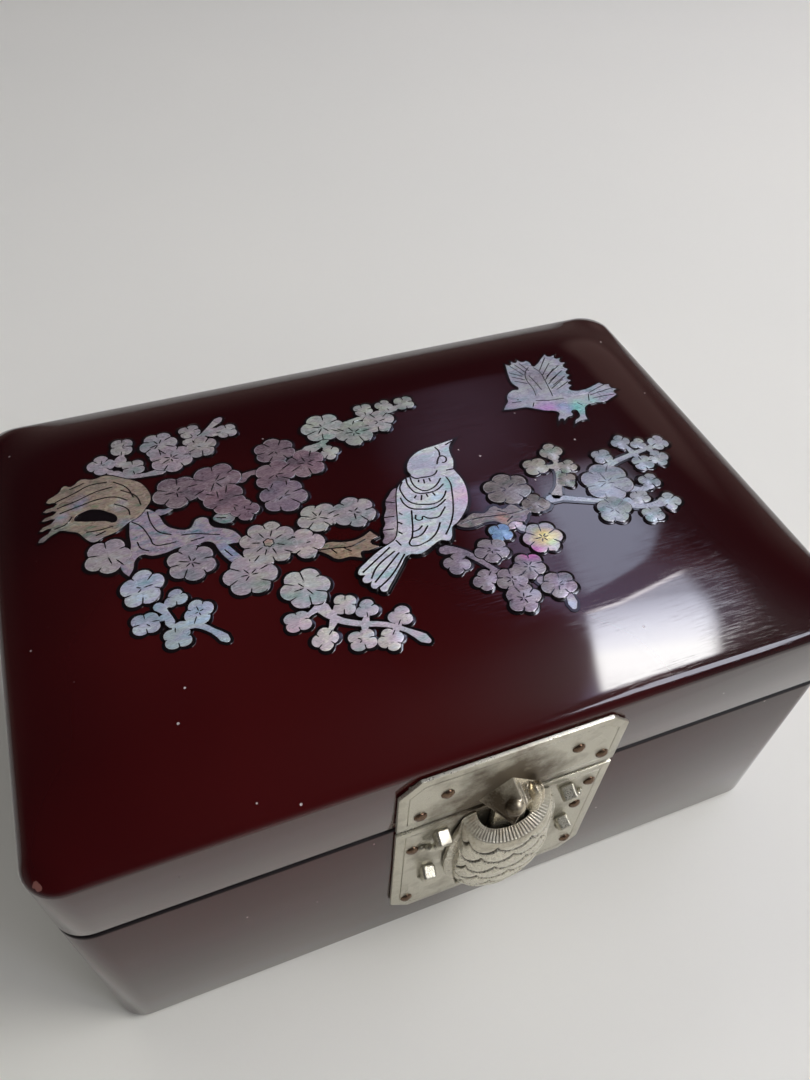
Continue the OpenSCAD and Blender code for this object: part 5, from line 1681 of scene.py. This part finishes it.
# %% Mirror frame
rim_low, rim_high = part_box("mirror_frame")
middle, border = (rim_low + rim_high) / 2, 14 * MM
SHORT_SIDES, LONG_SIDES = 70 * MM, 43 * MM  # how far from the middle they begin
bpy.ops.object.select_all(action="DESELECT")
bpy.ops.mesh.primitive_plane_add(size=1, location=middle)
rim = bpy.context.object
rim.scale = (rim_high.x - rim_low.x - 1 * MM, rim_high.y - rim_low.y - 1 * MM, 1)
settle(rim, "mirror_frame_padded")
edit(rim)
bpy.ops.mesh.select_all(action="SELECT")
bpy.ops.mesh.inset(thickness=border - 1 * MM)
bpy.ops.mesh.delete(type="FACE")
bpy.ops.mesh.select_all(action="SELECT")
bpy.ops.mesh.extrude_region_move(TRANSFORM_OT_translate={"value": (0, 0, 1.6 * MM)})
bpy.ops.mesh.select_all(action="SELECT")
bpy.ops.transform.translate(value=(0, 0, -0.8 * MM))
leave()
outward(rim)
inflate(rim, 0.9, 3, 0.9)
for vertex in rim.data.vertices:
    x, y = vertex.co.x, vertex.co.y
    round_way = x if abs(y) > LONG_SIDES and abs(x) < SHORT_SIDES else y
    gather = math.sin(round_way * 900) + 0.5 * math.sin(round_way * 1700 + 1)
    if vertex.co.z < middle.z:
        vertex.co.z += 0.14 * MM * gather
fit_into(rim, rim_low, rim_high)
hand_in(smooth(rim, 60), "lid", SATIN, "satin", "mirror_frame")

# %% [markdown]
# ## Table, lamps and camera
# The box stands on a pale table in front of a window. Lacquer shows its surroundings, so
# they matter as much as its colour: a window high at the right makes the bright patch on
# the front shoulder, a paler one behind it a grey sheen on the field, and the room over
# the back is dark, which leaves the red deep. The table itself is what the front reflects.

# %% Table
def make_table():
    finish = Finish("table_top")
    mottle = finish.noise(180 * MM, 2)
    colour = finish.mix(mottle, tone(229, 227, 218), tone(234, 231, 221))
    return finish.shader(Base_Color=colour, Roughness=0.55)


bpy.ops.object.select_all(action="DESELECT")
bpy.ops.mesh.primitive_plane_add(size=6, location=(0, 0, 0))
table = bpy.context.object
table.name = "table"
table.data.materials.append(make_table())

# %% Lamps
LAMP_AIM = Vector((0.02, -0.03, FIELD))


def lamp(name, direction, distance, size, power, colour=(1, 1, 1), glossy=True):
    """A flat lamp in this direction from the lid, facing it, with a depth and a width."""
    light = bpy.data.lights.new(name, "AREA")
    light.shape, light.size, light.size_y = "RECTANGLE", size[0], size[1]
    light.energy, light.color = power, colour
    holder = bpy.data.objects.new(name, light)
    bpy.context.collection.objects.link(holder)
    outward_axis = Vector(direction).normalized()
    deep_axis = (Vector((0, 1, 0)) - outward_axis * outward_axis.y).normalized()
    axes = Matrix((deep_axis, outward_axis.cross(deep_axis), outward_axis)).transposed()
    holder.location = LAMP_AIM + outward_axis * distance
    holder.rotation_euler = axes.to_euler()
    holder.visible_glossy = glossy
    return holder


lamp("front_window", (0.53, -0.60, 0.60), 1.8, (0.40, 0.52), 5, (0.84, 0.87, 1))
lamp("right_light", (1.0, -0.3, 0.7), 2.4, (0.9, 0.9), 12, glossy=False)
lamp("front_light", (0.1, -1.0, 0.9), 2.4, (1.6, 2.2), 13, glossy=False)
lamp("back_light", (-0.3, 1.0, 1.1), 3.0, (1.6, 2.2), 14, glossy=False)

# %% [markdown]
# The window itself is a glowing sheet over the right of the box, for its shape shows in
# the lacquer. Its pane is brightest low down and ends in a slanting pale edge. Beyond a
# dim gap a second, bluish pane begins. Each of them is a few soft steps of the place.

# %% Window
def make_window_glow():
    finish = Finish("window_glow")
    x, y = (finish.node("SeparateXYZ", None, {0: finish.place()}, axis) for axis in "XY")
    top = y - finish.node("Math", {"operation": "MAXIMUM"}, {0: x - 0.78, 1: 0}) * 0.9
    left, right = x - (y + 0.12) * (y + 0.12) * 0.16, x - y * y * 0.15
    pane = (finish.steps(left, 0.660, 0.675) * finish.steps(right, 0.950, 0.915)
            * finish.steps(y, -0.745, -0.70) * finish.steps(top, 0.395, 0.375))
    light = finish.ramp(finish.steps(y + x, 0.367, 1.267),
                        (0.06, (1, 1, 1, 1)), (0.2, (0.85, 0.86, 0.92, 1)),
                        (0.44, (0.69, 0.71, 0.80, 1)), (0.67, (0.49, 0.51, 0.60, 1)),
                        (0.8, (0.39, 0.41, 0.49, 1)), (0.9, (0.27, 0.28, 0.34, 1)))
    light = finish.mix(finish.steps(top, 0.33, 0.355), light, (0.60, 0.57, 0.61, 1))
    second = (finish.steps(x - y * 0.193, 0.63, 0.65) * finish.steps(y - x, -0.16, -0.135)
              * finish.steps(x, 1.13, 1.03) * finish.steps(y, 1.2, 1.1))
    glow = finish.ramp(finish.steps(x, 0.3, 1.3), (0.3, (0, 0, 0, 1)), (0.36, (0.009, 0.006, 0.010, 1)),
                       (0.40, (0.046, 0.046, 0.078, 1)), (0.66, (0.040, 0.034, 0.050, 1)),
                       (0.74, (0.018, 0.011, 0.015, 1)), (0.82, (0, 0, 0, 1)))
    glow = finish.mix(second, glow, (0.14, 0.155, 0.205, 1))
    glow = finish.mix(pane, glow, light)
    return finish.shader(Base_Color=(0, 0, 0, 1), Roughness=1, Emission_Color=glow, Emission_Strength=20)


bpy.ops.object.select_all(action="DESELECT")
bpy.ops.mesh.primitive_plane_add(size=1, location=(0.8, 0.225, FIELD + 1.35))
window = bpy.context.object
window.scale = (1, 1.95, 1)
settle(window, "window")
window.data.materials.append(make_window_glow())
window.visible_camera = window.visible_shadow = False

# %% [markdown]
# The room is painted by direction. It is pale round the horizon in front, brown behind
# the box, and dark overhead, where the lid's mirror looks. A brown wall stands at the
# right, and a door far behind is a faint stripe in the lid.

# %% Room
def make_room():
    """The world's own nodes, through the same small class."""
    world = bpy.data.worlds.new("room")
    bpy.context.scene.world = world
    world.use_nodes = True
    room = Finish.__new__(Finish)
    room.tree = world.node_tree
    room.tree.nodes.clear()
    direction = room.node("TexCoord", output="Generated")

    def blob(centre, outer, inner):
        centre = tuple(Vector(centre).normalized())
        away = room.node("VectorMath", {"operation": "DISTANCE"}, {0: direction, 1: centre}, "Value")
        return room.steps(away, outer, inner)

    parts = {axis: room.node("SeparateXYZ", None, {0: direction}, axis) for axis in "YZ"}
    behind = room.steps(parts["Y"], -0.2, 0.3)
    horizon = room.mix(behind, (0.40, 0.41, 0.42, 1), (0.17, 0.12, 0.11, 1))
    shade = room.mix(room.steps(parts["Z"], 0.06, 0.42), horizon, (0.026, 0.025, 0.032, 1))
    shade = room.mix(blob((0.68, 0.66, 0.33), 0.23, 0.15), shade, (0.34, 0.24, 0.22, 1))
    shade = room.mix(blob((0.355, 0.675, 0.655), 0.11, 0.03), shade, (0.42, 0.34, 0.50, 1))
    back = room.node("Background", None, {"Color": shade, "Strength": 0.8})
    output = room.tree.nodes.new("ShaderNodeOutputWorld")
    room.tree.links.new(back.socket, output.inputs["Surface"])


make_room()

# %% Camera
camera_data = bpy.data.cameras.new("camera")
camera_data.lens = 28.28
camera_data.sensor_width = 36
camera_data.clip_start = 0.01
camera = bpy.data.objects.new("camera", camera_data)
bpy.context.collection.objects.link(camera)
camera.location = Vector((-52.94, -127.46, 230.47)) * MM
camera.rotation_euler = [math.radians(a) for a in (41.604, -2.343, -20.917)]
bpy.context.scene.camera = camera
bpy.context.scene.view_settings.view_transform = "Standard"
print("camera, mm:", [round(v / MM) for v in camera.location])
